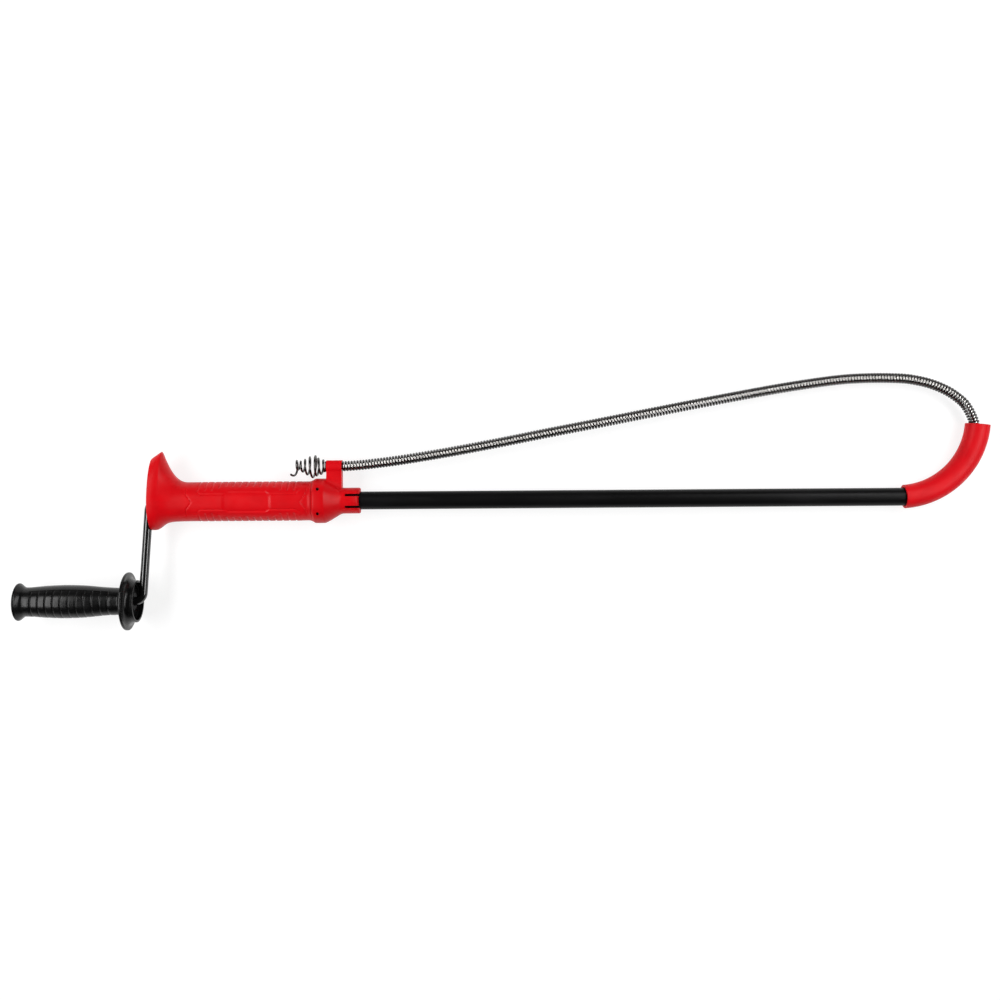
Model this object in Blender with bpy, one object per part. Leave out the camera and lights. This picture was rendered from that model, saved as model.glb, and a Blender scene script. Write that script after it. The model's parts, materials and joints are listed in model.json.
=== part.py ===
"""Hand-cranked closet auger: a crank rod slides and turns in a guide tube and drives a wound steel cable.

Tool frame, in metres: X runs along the tube from the rear rim of the grip (X = 0) to the bowl guard, the guard
bends towards +Y, and +Z is up as the tool lies on a floor. The cable is stowed: it bows back over the tube to
the clip on the front collar.
"""

import math

import bmesh
import bpy
from mathutils import Vector

# Clearances
SEAT = 0.0003
RUNNING = 0.00035
SLIDING = 0.0006

# Guide tube
TUBE_DIAMETER = 0.0222
TUBE_WALL = 0.0015
BEND_START = 0.9490
BEND_RADIUS = 0.1015
TUBE_SIDES = 24
BEND_STEPS = 12

# Bowl guard over the bend
GUARD_REAR_DIAMETER = 0.0293
GUARD_MOUTH_DIAMETER = 0.0308
GUARD_MOUTH_WALL = 0.0025
GUARD_START_ANGLE = math.radians(3.5)
GUARD_MOUTH_ANGLE = math.radians(83.9)
GUARD_LIP = 0.0012
TUBE_END_SETBACK = math.radians(8.0)

# Grip housing
GRIP_RADIUS = 0.0248
GRIP_LENGTH = 0.2020
GRIP_SIDES = 32
FLARE_LENGTH = 0.046
BELL_DEPTH = 0.0160
BELL_WALL = 0.0035
BELL_FLOOR_RADIUS = 0.0185
RIM_BOTTOM = 0.0359
RIM_SIDE = 0.0290
RIM_SWELL = 0.0145
HOOK_HEIGHT = 0.0635
HOOK_REAR_HEIGHT = 0.0537
HOOK_TIP_X = 0.0125
HOOK_SWELL = 0.0080
HOOK_TAPER = 0.55
REAR_WALL = 0.0120
RIB_START = 0.0627
RIB_PITCH = 0.0086
RIB_COUNT = 15
RIB_DEPTH = 0.0011
RIB_GAP = 0.0028
RIB_REACH = math.radians(50.0)
RIB_REACH_AT_PANEL = math.radians(30.0)
PANEL_START = 0.0925
PANEL_END = 0.1551
PANEL_RISE = 0.0008
PANEL_CORNER = 0.0060
PANEL_REACH = math.radians(32.0)
SPIGOT_RADIUS = 0.0210
SPIGOT_LENGTH = 0.0187

# Front collar
COLLAR_RADIUS = 0.0283
COLLAR_CHAMFER = 0.0054
COLLAR_STRAIGHT = 0.0126
COLLAR_CONE = 0.0208
COLLAR_SIDES = 48
FINGER_RADIUS = 0.0164
FINGER_LENGTH = 0.0237
FINGER_CHAMFER = 0.0014
SLOT_COUNT = 6
SLOT_WIDTH = 0.0026
SLOT_SETBACK = 0.0060
SCREW_DIAMETER = 0.0032
SCREW_LENGTH = 0.0085
SCREW_RECESS = 0.0008
SCREW_SETBACK = 0.0115
SCREW_ANGLES = [math.radians(a) for a in (57.0, 123.0, 237.0, 303.0)]
SCREW_SIDES = 12

# Cable clip on the collar, just in front of the grip's spigot
CLIP_SETBACK = 0.0007
CLIP_LENGTH = 0.0203
CLIP_WALL = 0.0020
CLIP_MOUTH = math.radians(37.0)
CLIP_POST_WIDTH = 0.0136
CLIP_ROOT_TOP = 0.0330
CLIP_REAR_ROOT = 0.0225, 0.0280
CLIP_FRONT_ROOT = 0.0160, 0.0170
CLIP_STEPS = 16
CABLE_Y_AT_CLIP = 0.0436

# Cable: its own points, chosen by hand, from the tube's bend to the clip
CABLE_DIAMETER = 0.0127
CABLE_RIBS = 170
RIB_HOLLOW = 0.0007
CABLE_FREE_POINTS = [
    (1.0433, 0.0672),
    (1.0452, 0.0778),
    (1.0447, 0.0895),
    (1.0416, 0.1000),
    (1.0358, 0.1115),
    (1.0283, 0.1209),
    (1.0115, 0.1332),
    (0.9908, 0.1424),
    (0.9700, 0.1477),
    (0.9500, 0.1505),
    (0.9100, 0.1512),
    (0.8690, 0.1487),
    (0.8080, 0.1402),
    (0.7470, 0.1298),
    (0.6860, 0.1187),
    (0.6250, 0.1072),
    (0.5640, 0.0956),
    (0.5030, 0.0842),
    (0.4420, 0.0724),
    (0.3810, 0.0613),
    (0.3200, 0.0516),
    (0.2800, 0.0466),
    (0.2590, 0.0446),
    (0.2425, 0.0437),
]
CABLE_BEND_ANGLES = [math.radians(a) for a in (0.0, 6.0, 18.0, 36.0, 54.0)]

# Bulb head
HEAD_WIRE = 0.0022
HEAD_LENGTH = 0.0370
HEAD_TURNS = 7
HEAD_RADIUS = 0.0144
HEAD_SKEW = 0.77
HEAD_FULLNESS = 1.5
HEAD_PHASE = math.radians(275.0)
TAIL_TURN = 0.36
TAIL_REACH = 0.0072
TAIL_LENGTH = 0.0065
POINTS_PER_TURN = 10

# Crank rod, which runs in the tube and carries the handle
ROD_DIAMETER = 0.0100
ROD_SIDES = 16
CRANK_THROW = 0.1252
ARM_RAKE = math.radians(3.1)
ARM_CLEARANCE = 0.0005
ROD_BEND_RADIUS = 0.0110
ROD_BEND_STEPS = 6

# Rear bushing in the grip
BUSHING_RADIUS = 0.0082
BUSHING_FLANGE_RADIUS = 0.0115
BUSHING_FLANGE = 0.0024

# Coupling, slide bushing and its ring at the front end of the rod
COUPLING_SETBACK = 0.0050
COUPLING_LENGTH = 0.0360
COUPLING_RADIUS = 0.0086
ROD_SOCKET = 0.0180
CABLE_SOCKET = 0.0140
PIN_DIAMETER = 0.0030
SLIDE_LENGTH = 0.0250
RING_RADIUS = 0.0078
RING_LENGTH = 0.0035

# Handle, along its own axis: distances outwards from the grip's rear rim
HANDLE_NEAR = 0.0160
HANDLE_FAR = 0.1685
HANDLE_SIDES = 28
HUB_RADIUS = 0.0265
CUP_RADIUS = 0.0238
CUP_DEPTH = 0.0068
FLANGE_RADIUS = 0.0366
FLANGE_PLACE = 0.0274
FLANGE_EDGE = 0.0030
HANDLE_NECK_RADIUS = 0.0171
HANDLE_BELLY_RADIUS = 0.0211
HANDLE_WAIST_RADIUS = 0.0184
HANDLE_END_RADIUS = 0.0237
HANDLE_END_LENGTH = 0.0100
GROOVE_START = 0.0510
GROOVE_PITCH = 0.0096
GROOVE_COUNT = 11
GROOVE_DEPTH = 0.0007
GROOVE_WIDTH = 0.0016
GROOVE_FROM = math.radians(20.0)
GROOVE_TO = math.radians(200.0)
AXLE_POCKET_RADIUS = 0.0128
AXLE_POCKET = 0.0210
PLUG_LENGTH = 0.0060
PLUG_RECESS = 0.0005
WASHER_THICKNESS = 0.0014
WASHER_RADIUS = 0.0110
NUT_THICKNESS = 0.0060
NUT_RADIUS = 0.0085

# Worked out from the sizes above
TUBE_RADIUS = TUBE_DIAMETER / 2
TUBE_BORE = TUBE_RADIUS - TUBE_WALL
ROD_RADIUS = ROD_DIAMETER / 2
CABLE_RADIUS = CABLE_DIAMETER / 2
BEND_CENTRE = (BEND_START, BEND_RADIUS)
TUBE_END_ANGLE = GUARD_MOUTH_ANGLE - TUBE_END_SETBACK
COLLAR_START = GRIP_LENGTH
SPIGOT_END = GRIP_LENGTH + SPIGOT_LENGTH
CLIP_START = SPIGOT_END + SEAT + CLIP_SETBACK
CLIP_BASE = (TUBE_RADIUS + FINGER_RADIUS) / 2
CONE_START = COLLAR_START + COLLAR_STRAIGHT + COLLAR_CHAMFER
FINGER_START = CONE_START + COLLAR_CONE
COLLAR_END = FINGER_START + FINGER_LENGTH
SCREW_X = COLLAR_START + SCREW_SETBACK
TUBE_START = BELL_DEPTH + REAR_WALL + SEAT
COUPLING_FRONT = BEND_START - COUPLING_SETBACK
COUPLING_REAR = COUPLING_FRONT - COUPLING_LENGTH
ROD_FRONT = COUPLING_REAR + ROD_SOCKET - SEAT
CABLE_START = COUPLING_FRONT - CABLE_SOCKET + SEAT
SLIDE_FRONT = COUPLING_REAR - SEAT
SLIDE_REAR = SLIDE_FRONT - SLIDE_LENGTH
RING_FRONT = SLIDE_REAR - SEAT
RING_REAR = RING_FRONT - RING_LENGTH
CABLE_END = CLIP_START - 2 * SEAT
HEAD_START = CABLE_END - SEAT - HEAD_WIRE / 2
ARM_AT_AXIS = math.tan(ARM_RAKE) * (RIM_SIDE - BELL_WALL) - ROD_RADIUS / math.cos(ARM_RAKE) - ARM_CLEARANCE
ARM_AT_HANDLE = ARM_AT_AXIS - math.tan(ARM_RAKE) * CRANK_THROW
CRANK_LEAN = math.asin((FLANGE_RADIUS - RIM_SIDE) / CRANK_THROW)
CRANK_TRAVEL = RING_REAR - TUBE_START - SLIDING

FULL_TURN = 2 * math.pi


def clear_scene():
    for obj in list(bpy.data.objects):
        bpy.data.objects.remove(obj)


def make_material(name, colour, roughness, metallic=0.0):
    material = bpy.data.materials.new(name)
    material.use_nodes = True
    shader = material.node_tree.nodes["Principled BSDF"]
    shader.inputs["Base Color"].default_value = (*colour, 1.0)
    shader.inputs["Roughness"].default_value = roughness
    shader.inputs["Metallic"].default_value = metallic
    return material


def make_empty(name, parent=None, location=(0, 0, 0)):
    empty = bpy.data.objects.new(name, None)
    bpy.context.collection.objects.link(empty)
    empty.parent = parent
    empty.location = location
    return empty


def add_object(name, data, material, parent):
    obj = bpy.data.objects.new(name, data)
    bpy.context.collection.objects.link(obj)
    obj.data.materials.append(material)
    obj.parent = parent
    return obj


def add_mesh(name, bm, material, parent):
    """A closed mesh object from a bmesh, with its faces outwards and its round faces smooth."""
    bmesh.ops.remove_doubles(bm, verts=bm.verts, dist=1e-6)
    bmesh.ops.recalc_face_normals(bm, faces=bm.faces)
    mesh = bpy.data.meshes.new(name)
    bm.to_mesh(mesh)
    bm.free()
    mesh.shade_smooth()
    mesh.set_sharp_from_angle(angle=math.radians(35))
    return add_object(name, mesh, material, parent)


def flats_to(radius, sides):
    """The corner radius of a bore whose flats stay clear of a shaft of this radius."""
    return radius / math.cos(math.pi / sides)


def turn_profile(profile, sides, closed):
    """Spin a profile of (X, radius) points about the X axis."""
    bm = bmesh.new()
    verts = [bm.verts.new((x, radius, 0.0)) for x, radius in profile]
    pairs = list(zip(verts, verts[1:]))
    if closed:
        pairs.append((verts[-1], verts[0]))
    edges = [bm.edges.new(pair) for pair in pairs]
    bmesh.ops.spin(
        bm,
        geom=verts + edges,
        cent=(0, 0, 0),
        axis=(1, 0, 0),
        angle=FULL_TURN,
        steps=sides,
        use_merge=True,
    )
    return bm


def loft_rings(rings, closed):
    """Skin equal rings of points: a closed loft joins its last ring to the first, an open one gets two caps."""
    bm = bmesh.new()
    loops = [[bm.verts.new(point) for point in ring] for ring in rings]
    following = loops[1:] + loops[:1] if closed else loops[1:]
    for near, far in zip(loops, following):
        for i, vert in enumerate(near):
            j = (i + 1) % len(near)
            bm.faces.new((vert, near[j], far[j], far[i]))
    if not closed:
        bm.faces.new(loops[0])
        bm.faces.new(loops[-1])
    return bm


def ring_across(centre, heading, radius, sides):
    """A round ring in the plane across a heading that lies in the XY plane."""
    side = Vector((-heading.y, heading.x, 0.0))
    up = Vector((0.0, 0.0, 1.0))
    ring = []
    for i in range(sides):
        angle = FULL_TURN * i / sides
        ring.append(centre + radius * (math.cos(angle) * side + math.sin(angle) * up))
    return ring


def bend_point(angle, radius=BEND_RADIUS):
    """A point of the guide's bend, and the heading of its centre line there."""
    x, y = BEND_CENTRE
    point = Vector((x + radius * math.sin(angle), y - radius * math.cos(angle), 0.0))
    return point, Vector((math.cos(angle), math.sin(angle), 0.0))


def cut(obj, cutter):
    modifier = obj.modifiers.new("cut_" + cutter.name, "BOOLEAN")
    modifier.operation = "DIFFERENCE"
    modifier.object = cutter
    hide_tool(cutter)


def join(obj, addition):
    modifier = obj.modifiers.new("join_" + addition.name, "BOOLEAN")
    modifier.operation = "UNION"
    modifier.object = addition
    hide_tool(addition)


def hide_tool(obj):
    obj.hide_render = True
    obj.display_type = "WIRE"


def rib_places():
    return [RIB_START + i * RIB_PITCH for i in range(RIB_COUNT)]


def hook_height(x):
    """The top of the flare: a smooth rise to the hook's tip, then a slope down to the rear rim."""
    if x < HOOK_TIP_X:
        return HOOK_REAR_HEIGHT + (HOOK_HEIGHT - HOOK_REAR_HEIGHT) * x / HOOK_TIP_X
    return GRIP_RADIUS + (HOOK_HEIGHT - GRIP_RADIUS) / (1 + ((x - HOOK_TIP_X) / HOOK_SWELL) ** 2.2)


def flare_share(x):
    return 1 / (1 + (x / RIM_SWELL) ** 4)


def panel_reach_at(x):
    """The half angle of the eight-sided side panel at X, or none away from it."""
    inset = min(x - PANEL_START, PANEL_END - x)
    if inset < 0:
        return None
    return PANEL_REACH * (0.6 + 0.4 * min(1.0, inset / PANEL_CORNER))


def relief(x, angle):
    """How far the grip's surface stands from its plain radius: rib gaps top and bottom, panels at the sides."""
    from_top = min(angle % math.pi, math.pi - angle % math.pi)
    from_side = math.pi / 2 - from_top
    panel = panel_reach_at(x)
    if panel is not None and from_side <= panel:
        return PANEL_RISE
    reach = RIB_REACH if panel is None else RIB_REACH_AT_PANEL
    in_gap = any(abs(x - place) < RIB_GAP / 4 for place in rib_places())
    return -RIB_DEPTH if in_gap and from_top <= reach else 0.0


def grip_ring(x, inset=0.0):
    """One cross-section of the grip: round along the grip, drawn up into the hook over the flare."""
    share = flare_share(x)
    top = hook_height(x) - inset
    bottom = GRIP_RADIUS + (RIM_BOTTOM - GRIP_RADIUS) * share - inset
    side = GRIP_RADIUS + (RIM_SIDE - GRIP_RADIUS) * share - inset
    taper = 1 + HOOK_TAPER * (top - side) / HOOK_HEIGHT
    ring = []
    for i in range(GRIP_SIDES):
        angle = FULL_TURN * i / GRIP_SIDES
        height, width = math.cos(angle), math.sin(angle)
        rise = top * abs(height) ** taper if height > 0 else -bottom * abs(height)
        raised = 1 + relief(x, angle) / GRIP_RADIUS
        ring.append(Vector((x, rise * raised, side * width * raised)))
    return ring


def round_ring(x, radius):
    ring = []
    for i in range(GRIP_SIDES):
        angle = FULL_TURN * i / GRIP_SIDES
        ring.append(Vector((x, radius * math.cos(angle), radius * math.sin(angle))))
    return ring


def grip_stations():
    """The places along the grip that need a cross-section: the flare, the rib gaps and the panel's corners."""
    flare = [FLARE_LENGTH * share for share in (0.0, 0.13, 0.22, 0.28, 0.35, 0.42, 0.5, 0.58, 0.68, 0.8, 1.0)]
    ribs = [place + shift for place in rib_places() for shift in (-RIB_GAP / 2, 0.0, RIB_GAP / 2)]
    panel = [PANEL_START, PANEL_START + PANEL_CORNER, PANEL_END - PANEL_CORNER, PANEL_END]
    panel += [PANEL_START - PANEL_RISE, PANEL_END + PANEL_RISE]
    return sorted(set(flare + ribs + panel + [GRIP_LENGTH]))


def build_grip(parent, red):
    """One moulding: bell and hook, ribbed grip, spigot for the collar, socket for the tube."""
    outer = [grip_ring(x) for x in grip_stations()]
    bore = flats_to(TUBE_RADIUS + SEAT, GRIP_SIDES)
    wall_bore = flats_to(BUSHING_RADIUS + SEAT, GRIP_SIDES)
    spigot = [
        round_ring(GRIP_LENGTH, SPIGOT_RADIUS),
        round_ring(SPIGOT_END, SPIGOT_RADIUS),
    ]
    inner = [
        round_ring(SPIGOT_END, bore),
        round_ring(TUBE_START - SEAT, bore),
        round_ring(TUBE_START - SEAT, wall_bore),
        round_ring(BELL_DEPTH, wall_bore),
        round_ring(BELL_DEPTH, BELL_FLOOR_RADIUS),
        grip_ring(0.0, BELL_WALL),
    ]
    grip = add_mesh("grip_housing", loft_rings(outer + spigot + inner, True), red, parent)
    cut(grip, screw_holes("grip_screw_holes", parent, red))
    return grip


def radial_bar(bm, x, angle, start, end, radius, sides):
    """A round bar square to the tool axis, between two distances from it."""
    heading = Vector((0.0, math.cos(angle), math.sin(angle)))
    along = Vector((1.0, 0.0, 0.0))
    across = heading.cross(along)
    loops = []
    for reach in (start, end):
        centre = Vector((x, 0.0, 0.0)) + heading * reach
        loop = []
        for i in range(sides):
            turn = FULL_TURN * i / sides
            loop.append(bm.verts.new(centre + radius * (math.cos(turn) * along + math.sin(turn) * across)))
        loops.append(loop)
    for i in range(sides):
        j = (i + 1) % sides
        bm.faces.new((loops[0][i], loops[0][j], loops[1][j], loops[1][i]))
    bm.faces.new(loops[0])
    bm.faces.new(loops[1])


def screw_holes(name, parent, material):
    bm = bmesh.new()
    for angle in SCREW_ANGLES:
        start = COLLAR_RADIUS - SCREW_RECESS - SCREW_LENGTH - SEAT
        hole = flats_to(SCREW_DIAMETER / 2 + SEAT, SCREW_SIDES)
        radial_bar(bm, SCREW_X, angle, start, COLLAR_RADIUS * 1.2, hole, SCREW_SIDES)
    return add_mesh(name, bm, material, parent)


def build_screws(parent, steel):
    """Headless screws, sunk a little below the collar's face and set into the grip's spigot."""
    for number, angle in enumerate(SCREW_ANGLES, 1):
        bm = bmesh.new()
        top = COLLAR_RADIUS - SCREW_RECESS
        radial_bar(bm, SCREW_X, angle, top - SCREW_LENGTH, top, SCREW_DIAMETER / 2, SCREW_SIDES)
        add_mesh(f"collar_screw_{number}", bm, steel, parent)


def finger_slots(parent, material):
    """The six cuts that split the front of the collar into clamp fingers."""
    bm = bmesh.new()
    start = FINGER_START + SLOT_SETBACK
    end = COLLAR_END + FINGER_CHAMFER
    for i in range(SLOT_COUNT):
        angle = FULL_TURN * i / SLOT_COUNT
        across = Vector((0.0, -math.sin(angle), math.cos(angle))) * SLOT_WIDTH / 2
        out = Vector((0.0, math.cos(angle), math.sin(angle)))
        corners = []
        for reach in (TUBE_RADIUS / 2, FINGER_RADIUS * 1.2):
            for x in (start, end):
                for side in (-1, 1):
                    corners.append(bm.verts.new(Vector((x, 0.0, 0.0)) + out * reach + across * side))
        hull = bmesh.ops.convex_hull(bm, input=corners)
        bmesh.ops.delete(bm, geom=hull["geom_interior"], context="VERTS")
    return add_mesh("finger_slots", bm, material, parent)


def clip_outline(root):
    """The clip's end view as (Y, Z) points: a C round the cable, open outwards, on a post with a wide root."""
    inner = CABLE_RADIUS + SEAT
    outer = inner + CLIP_WALL
    half_post = CLIP_POST_WIDTH / 2
    root_height, root_width = root
    foot = math.pi - math.asin(half_post / outer)
    points = []
    for i in range(CLIP_STEPS + 1):
        angle = CLIP_MOUTH + (FULL_TURN - 2 * CLIP_MOUTH) * i / CLIP_STEPS
        points.append((math.cos(angle) * inner, math.sin(angle) * inner))
    arc = CLIP_STEPS // 2
    for i in range(arc + 1):
        angle = FULL_TURN - CLIP_MOUTH - (foot - CLIP_MOUTH) * i / arc
        points.append((math.cos(angle) * outer, math.sin(angle) * outer))
    half_root = [(CLIP_ROOT_TOP, half_post), (root_height, root_width / 2), (CLIP_BASE, root_width / 2)]
    points += [(y - CABLE_Y_AT_CLIP, -z) for y, z in half_root]
    points += [(y - CABLE_Y_AT_CLIP, z) for y, z in reversed(half_root)]
    for i in range(arc + 1):
        angle = foot - (foot - CLIP_MOUTH) * i / arc
        points.append((math.cos(angle) * outer, math.sin(angle) * outer))
    return [(y + CABLE_Y_AT_CLIP, z) for y, z in points]


def build_clip(parent, red):
    ends = (CLIP_START, CLIP_REAR_ROOT), (CLIP_START + CLIP_LENGTH, CLIP_FRONT_ROOT)
    rings = [[Vector((x, y, z)) for y, z in clip_outline(root)] for x, root in ends]
    return add_mesh("cable_clip", loft_rings(rings, False), red, parent)


def build_collar(parent, red):
    """Nose moulding: socket on the grip's spigot, cone, slotted clamp fingers and the cable clip."""
    socket = flats_to(SPIGOT_RADIUS + SEAT, COLLAR_SIDES)
    bore = flats_to(TUBE_RADIUS + SEAT, COLLAR_SIDES)
    socket_end = SPIGOT_END + SEAT
    profile = [
        (COLLAR_START + SEAT, socket),
        (COLLAR_START + SEAT, GRIP_RADIUS),
        (COLLAR_START + COLLAR_CHAMFER, COLLAR_RADIUS),
        (CONE_START, COLLAR_RADIUS),
        (CONE_START + COLLAR_CONE * 0.28, COLLAR_RADIUS - (COLLAR_RADIUS - FINGER_RADIUS) * 0.24),
        (FINGER_START, FINGER_RADIUS),
        (COLLAR_END - FINGER_CHAMFER, FINGER_RADIUS),
        (COLLAR_END, FINGER_RADIUS - FINGER_CHAMFER),
        (COLLAR_END, bore),
        (socket_end, bore),
        (socket_end, socket),
    ]
    collar = add_mesh("front_collar", turn_profile(profile, COLLAR_SIDES, True), red, parent)
    cut(collar, finger_slots(parent, red))
    join(collar, build_clip(parent, red))
    cut(collar, screw_holes("collar_screw_holes", parent, red))
    return collar


def build_tube(parent, black):
    """Steel tube: straight from the grip, then bent inside the bowl guard."""
    stations = [(Vector((TUBE_START, 0.0, 0.0)), Vector((1.0, 0.0, 0.0)))]
    stations += [bend_point(TUBE_END_ANGLE * i / BEND_STEPS) for i in range(BEND_STEPS + 1)]
    outer = [ring_across(point, heading, TUBE_RADIUS, TUBE_SIDES) for point, heading in stations]
    inner = [ring_across(point, heading, TUBE_BORE, TUBE_SIDES) for point, heading in reversed(stations)]
    return add_mesh("guide_tube", loft_rings(outer + inner, True), black, parent)


def build_guard(parent, red):
    """Vinyl boot over the bend, swelling a little to its mouth, with a bore that opens past the tube's end."""
    sweep = GUARD_MOUTH_ANGLE - GUARD_START_ANGLE
    ease = GUARD_LIP / BEND_RADIUS
    outer = []
    for i in range(BEND_STEPS + 1):
        share = i / BEND_STEPS
        angle = GUARD_START_ANGLE + ease + (sweep - 2 * ease) * share
        diameter = GUARD_REAR_DIAMETER + (GUARD_MOUTH_DIAMETER - GUARD_REAR_DIAMETER) * share
        outer.append(ring_across(*bend_point(angle), diameter / 2, TUBE_SIDES))
    ends = (GUARD_START_ANGLE, GUARD_REAR_DIAMETER), (GUARD_MOUTH_ANGLE, GUARD_MOUTH_DIAMETER)
    eased = [ring_across(*bend_point(angle), diameter / 2 - GUARD_LIP, TUBE_SIDES) for angle, diameter in ends]
    bore = flats_to(TUBE_RADIUS + SEAT, TUBE_SIDES)
    mouth_bore = GUARD_MOUTH_DIAMETER / 2 - GUARD_MOUTH_WALL
    inner = []
    for i in range(BEND_STEPS + 1):
        angle = GUARD_MOUTH_ANGLE - sweep * i / BEND_STEPS
        past_tube = max(0.0, (angle - TUBE_END_ANGLE) / TUBE_END_SETBACK)
        inner.append(ring_across(*bend_point(angle), bore + (mouth_bore - bore) * past_tube, TUBE_SIDES))
    return add_mesh("bowl_guard", loft_rings(eased[:1] + outer + eased[1:] + inner, True), red, parent)


def smooth_curve(points, steps):
    """Points along a smooth curve that passes through every given point."""
    ends = [2 * points[0] - points[1]] + points + [2 * points[-1] - points[-2]]
    curve = []
    for a, b, c, d in zip(ends, ends[1:], ends[2:], ends[3:]):
        for i in range(steps):
            t = i / steps
            square = 2 * a - 5 * b + 4 * c - d
            cube = 3 * b - a - 3 * c + d
            curve.append(0.5 * (2 * b + (c - a) * t + square * t**2 + cube * t**3))
    return curve + [points[-1]]


def even_points(curve, count):
    """The curve's points respaced to equal steps along its length."""
    lengths = [0.0]
    for near, far in zip(curve, curve[1:]):
        lengths.append(lengths[-1] + (far - near).length)
    spaced = []
    leg = 0
    for i in range(count):
        target = lengths[-1] * i / (count - 1)
        while leg < len(curve) - 2 and lengths[leg + 1] < target:
            leg += 1
        share = (target - lengths[leg]) / (lengths[leg + 1] - lengths[leg])
        spaced.append(curve[leg].lerp(curve[leg + 1], share))
    return spaced, lengths[-1]


def add_wire(name, points, radii, bevel_resolution, material, parent):
    """A closed round wire along the points, with its own radius at each."""
    curve = bpy.data.curves.new(name, "CURVE")
    curve.dimensions = "3D"
    curve.bevel_depth = 1.0
    curve.bevel_resolution = bevel_resolution
    curve.use_fill_caps = True
    spline = curve.splines.new("POLY")
    spline.points.add(len(points) - 1)
    for point, place, radius in zip(spline.points, points, radii):
        point.co = (*place, 1.0)
        point.radius = radius
    return add_object(name, curve, material, parent)


def cable_route():
    """The cable's centre line: coupling, round the bend, out of the guard, and back to the clip."""
    straight = [Vector((CABLE_START, 0.0, 0.0))]
    bend = [bend_point(angle)[0] for angle in CABLE_BEND_ANGLES]
    free = [Vector((x, y, 0.0)) for x, y in CABLE_FREE_POINTS]
    ending = [Vector((CABLE_END, CABLE_Y_AT_CLIP, 0.0))]
    return smooth_curve(straight + bend + free + ending, 12)


def build_cable(parent, steel):
    """Wound cable: a ribbed tube, plain for one diameter at each end."""
    points, length = even_points(cable_route(), 2 * CABLE_RIBS)
    plain = round(CABLE_DIAMETER / length * len(points))
    radii = [CABLE_RADIUS - RIB_HOLLOW * (i % 2) for i in range(len(points))]
    radii[:plain] = [CABLE_RADIUS] * plain
    radii[-plain:] = [CABLE_RADIUS] * plain
    print(f"cable length {length:.4f} m, {CABLE_RIBS} ribs")
    return add_wire("drain_cable", points, radii, 2, steel, parent)


def head_point(share):
    """A point of the bulb's wire: 0 at the cable, 1 where the tail leaves the last turn."""
    start = CABLE_RADIUS - HEAD_WIRE / 2
    swell = max(0.0, math.sin(math.pi * share**HEAD_SKEW)) ** HEAD_FULLNESS
    radius = start + (HEAD_RADIUS - HEAD_WIRE / 2 - start) * swell
    angle = HEAD_PHASE - FULL_TURN * HEAD_TURNS * share
    return Vector((HEAD_START - HEAD_LENGTH * share, radius * math.cos(angle), radius * math.sin(angle)))


def tail_point(share):
    """A point of the hooked tail, which spirals out from the last turn."""
    start = CABLE_RADIUS - HEAD_WIRE / 2
    radius = start + TAIL_REACH * math.sin(share * math.pi * 0.62)
    angle = HEAD_PHASE - FULL_TURN * (HEAD_TURNS + TAIL_TURN * share)
    x = HEAD_START - HEAD_LENGTH - TAIL_LENGTH * share
    return Vector((x, radius * math.cos(angle), radius * math.sin(angle)))


def least_gap(points, wire, apart):
    """The least gap of a wire to itself, between points that are some way apart along it."""
    distances = []
    for i, point in enumerate(points):
        distances += [(point - other).length for other in points[i + apart:]]
    return min(distances) - wire


def build_head(parent, steel):
    """Bulb head: one wire wound into a swelling spring with a hooked tail."""
    count = HEAD_TURNS * POINTS_PER_TURN
    tail = round(TAIL_TURN * POINTS_PER_TURN) + 2
    points = [head_point(i / count) for i in range(count + 1)]
    points += [tail_point(i / tail) for i in range(1, tail + 1)]
    print(f"bulb head least gap {least_gap(points, HEAD_WIRE, POINTS_PER_TURN // 2) * 1000:.2f} mm")
    return add_wire("bulb_head", points, [HEAD_WIRE / 2] * len(points), 1, steel, parent)


def build_rear_bushing(parent, plastic):
    bore = flats_to(ROD_RADIUS + RUNNING, TUBE_SIDES)
    face = BELL_DEPTH - SEAT
    profile = [
        (face - BUSHING_FLANGE, bore),
        (face - BUSHING_FLANGE, BUSHING_FLANGE_RADIUS),
        (face, BUSHING_FLANGE_RADIUS),
        (face, BUSHING_RADIUS),
        (TUBE_START - SEAT, BUSHING_RADIUS),
        (TUBE_START - SEAT, bore),
    ]
    return add_mesh("rear_bushing", turn_profile(profile, TUBE_SIDES, True), plastic, parent)


def plain_ring(name, start, end, bore, radius, sides, material, parent):
    profile = [(start, bore), (start, radius), (end, radius), (end, bore)]
    return add_mesh(name, turn_profile(profile, sides, True), material, parent)


def build_slide_bushing(parent, plastic):
    bore = flats_to(ROD_RADIUS + RUNNING, TUBE_SIDES)
    inside = TUBE_BORE * math.cos(math.pi / TUBE_SIDES) - RUNNING
    return plain_ring("slide_bushing", SLIDE_REAR, SLIDE_FRONT, bore, inside, TUBE_SIDES, plastic, parent)


def cross_pin(name, diameter, length, material, parent):
    bm = bmesh.new()
    place = COUPLING_REAR + ROD_SOCKET / 2
    radial_bar(bm, place, math.pi / 2, -length / 2, length / 2, diameter / 2, SCREW_SIDES)
    return add_mesh(name, bm, material, parent)


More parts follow.
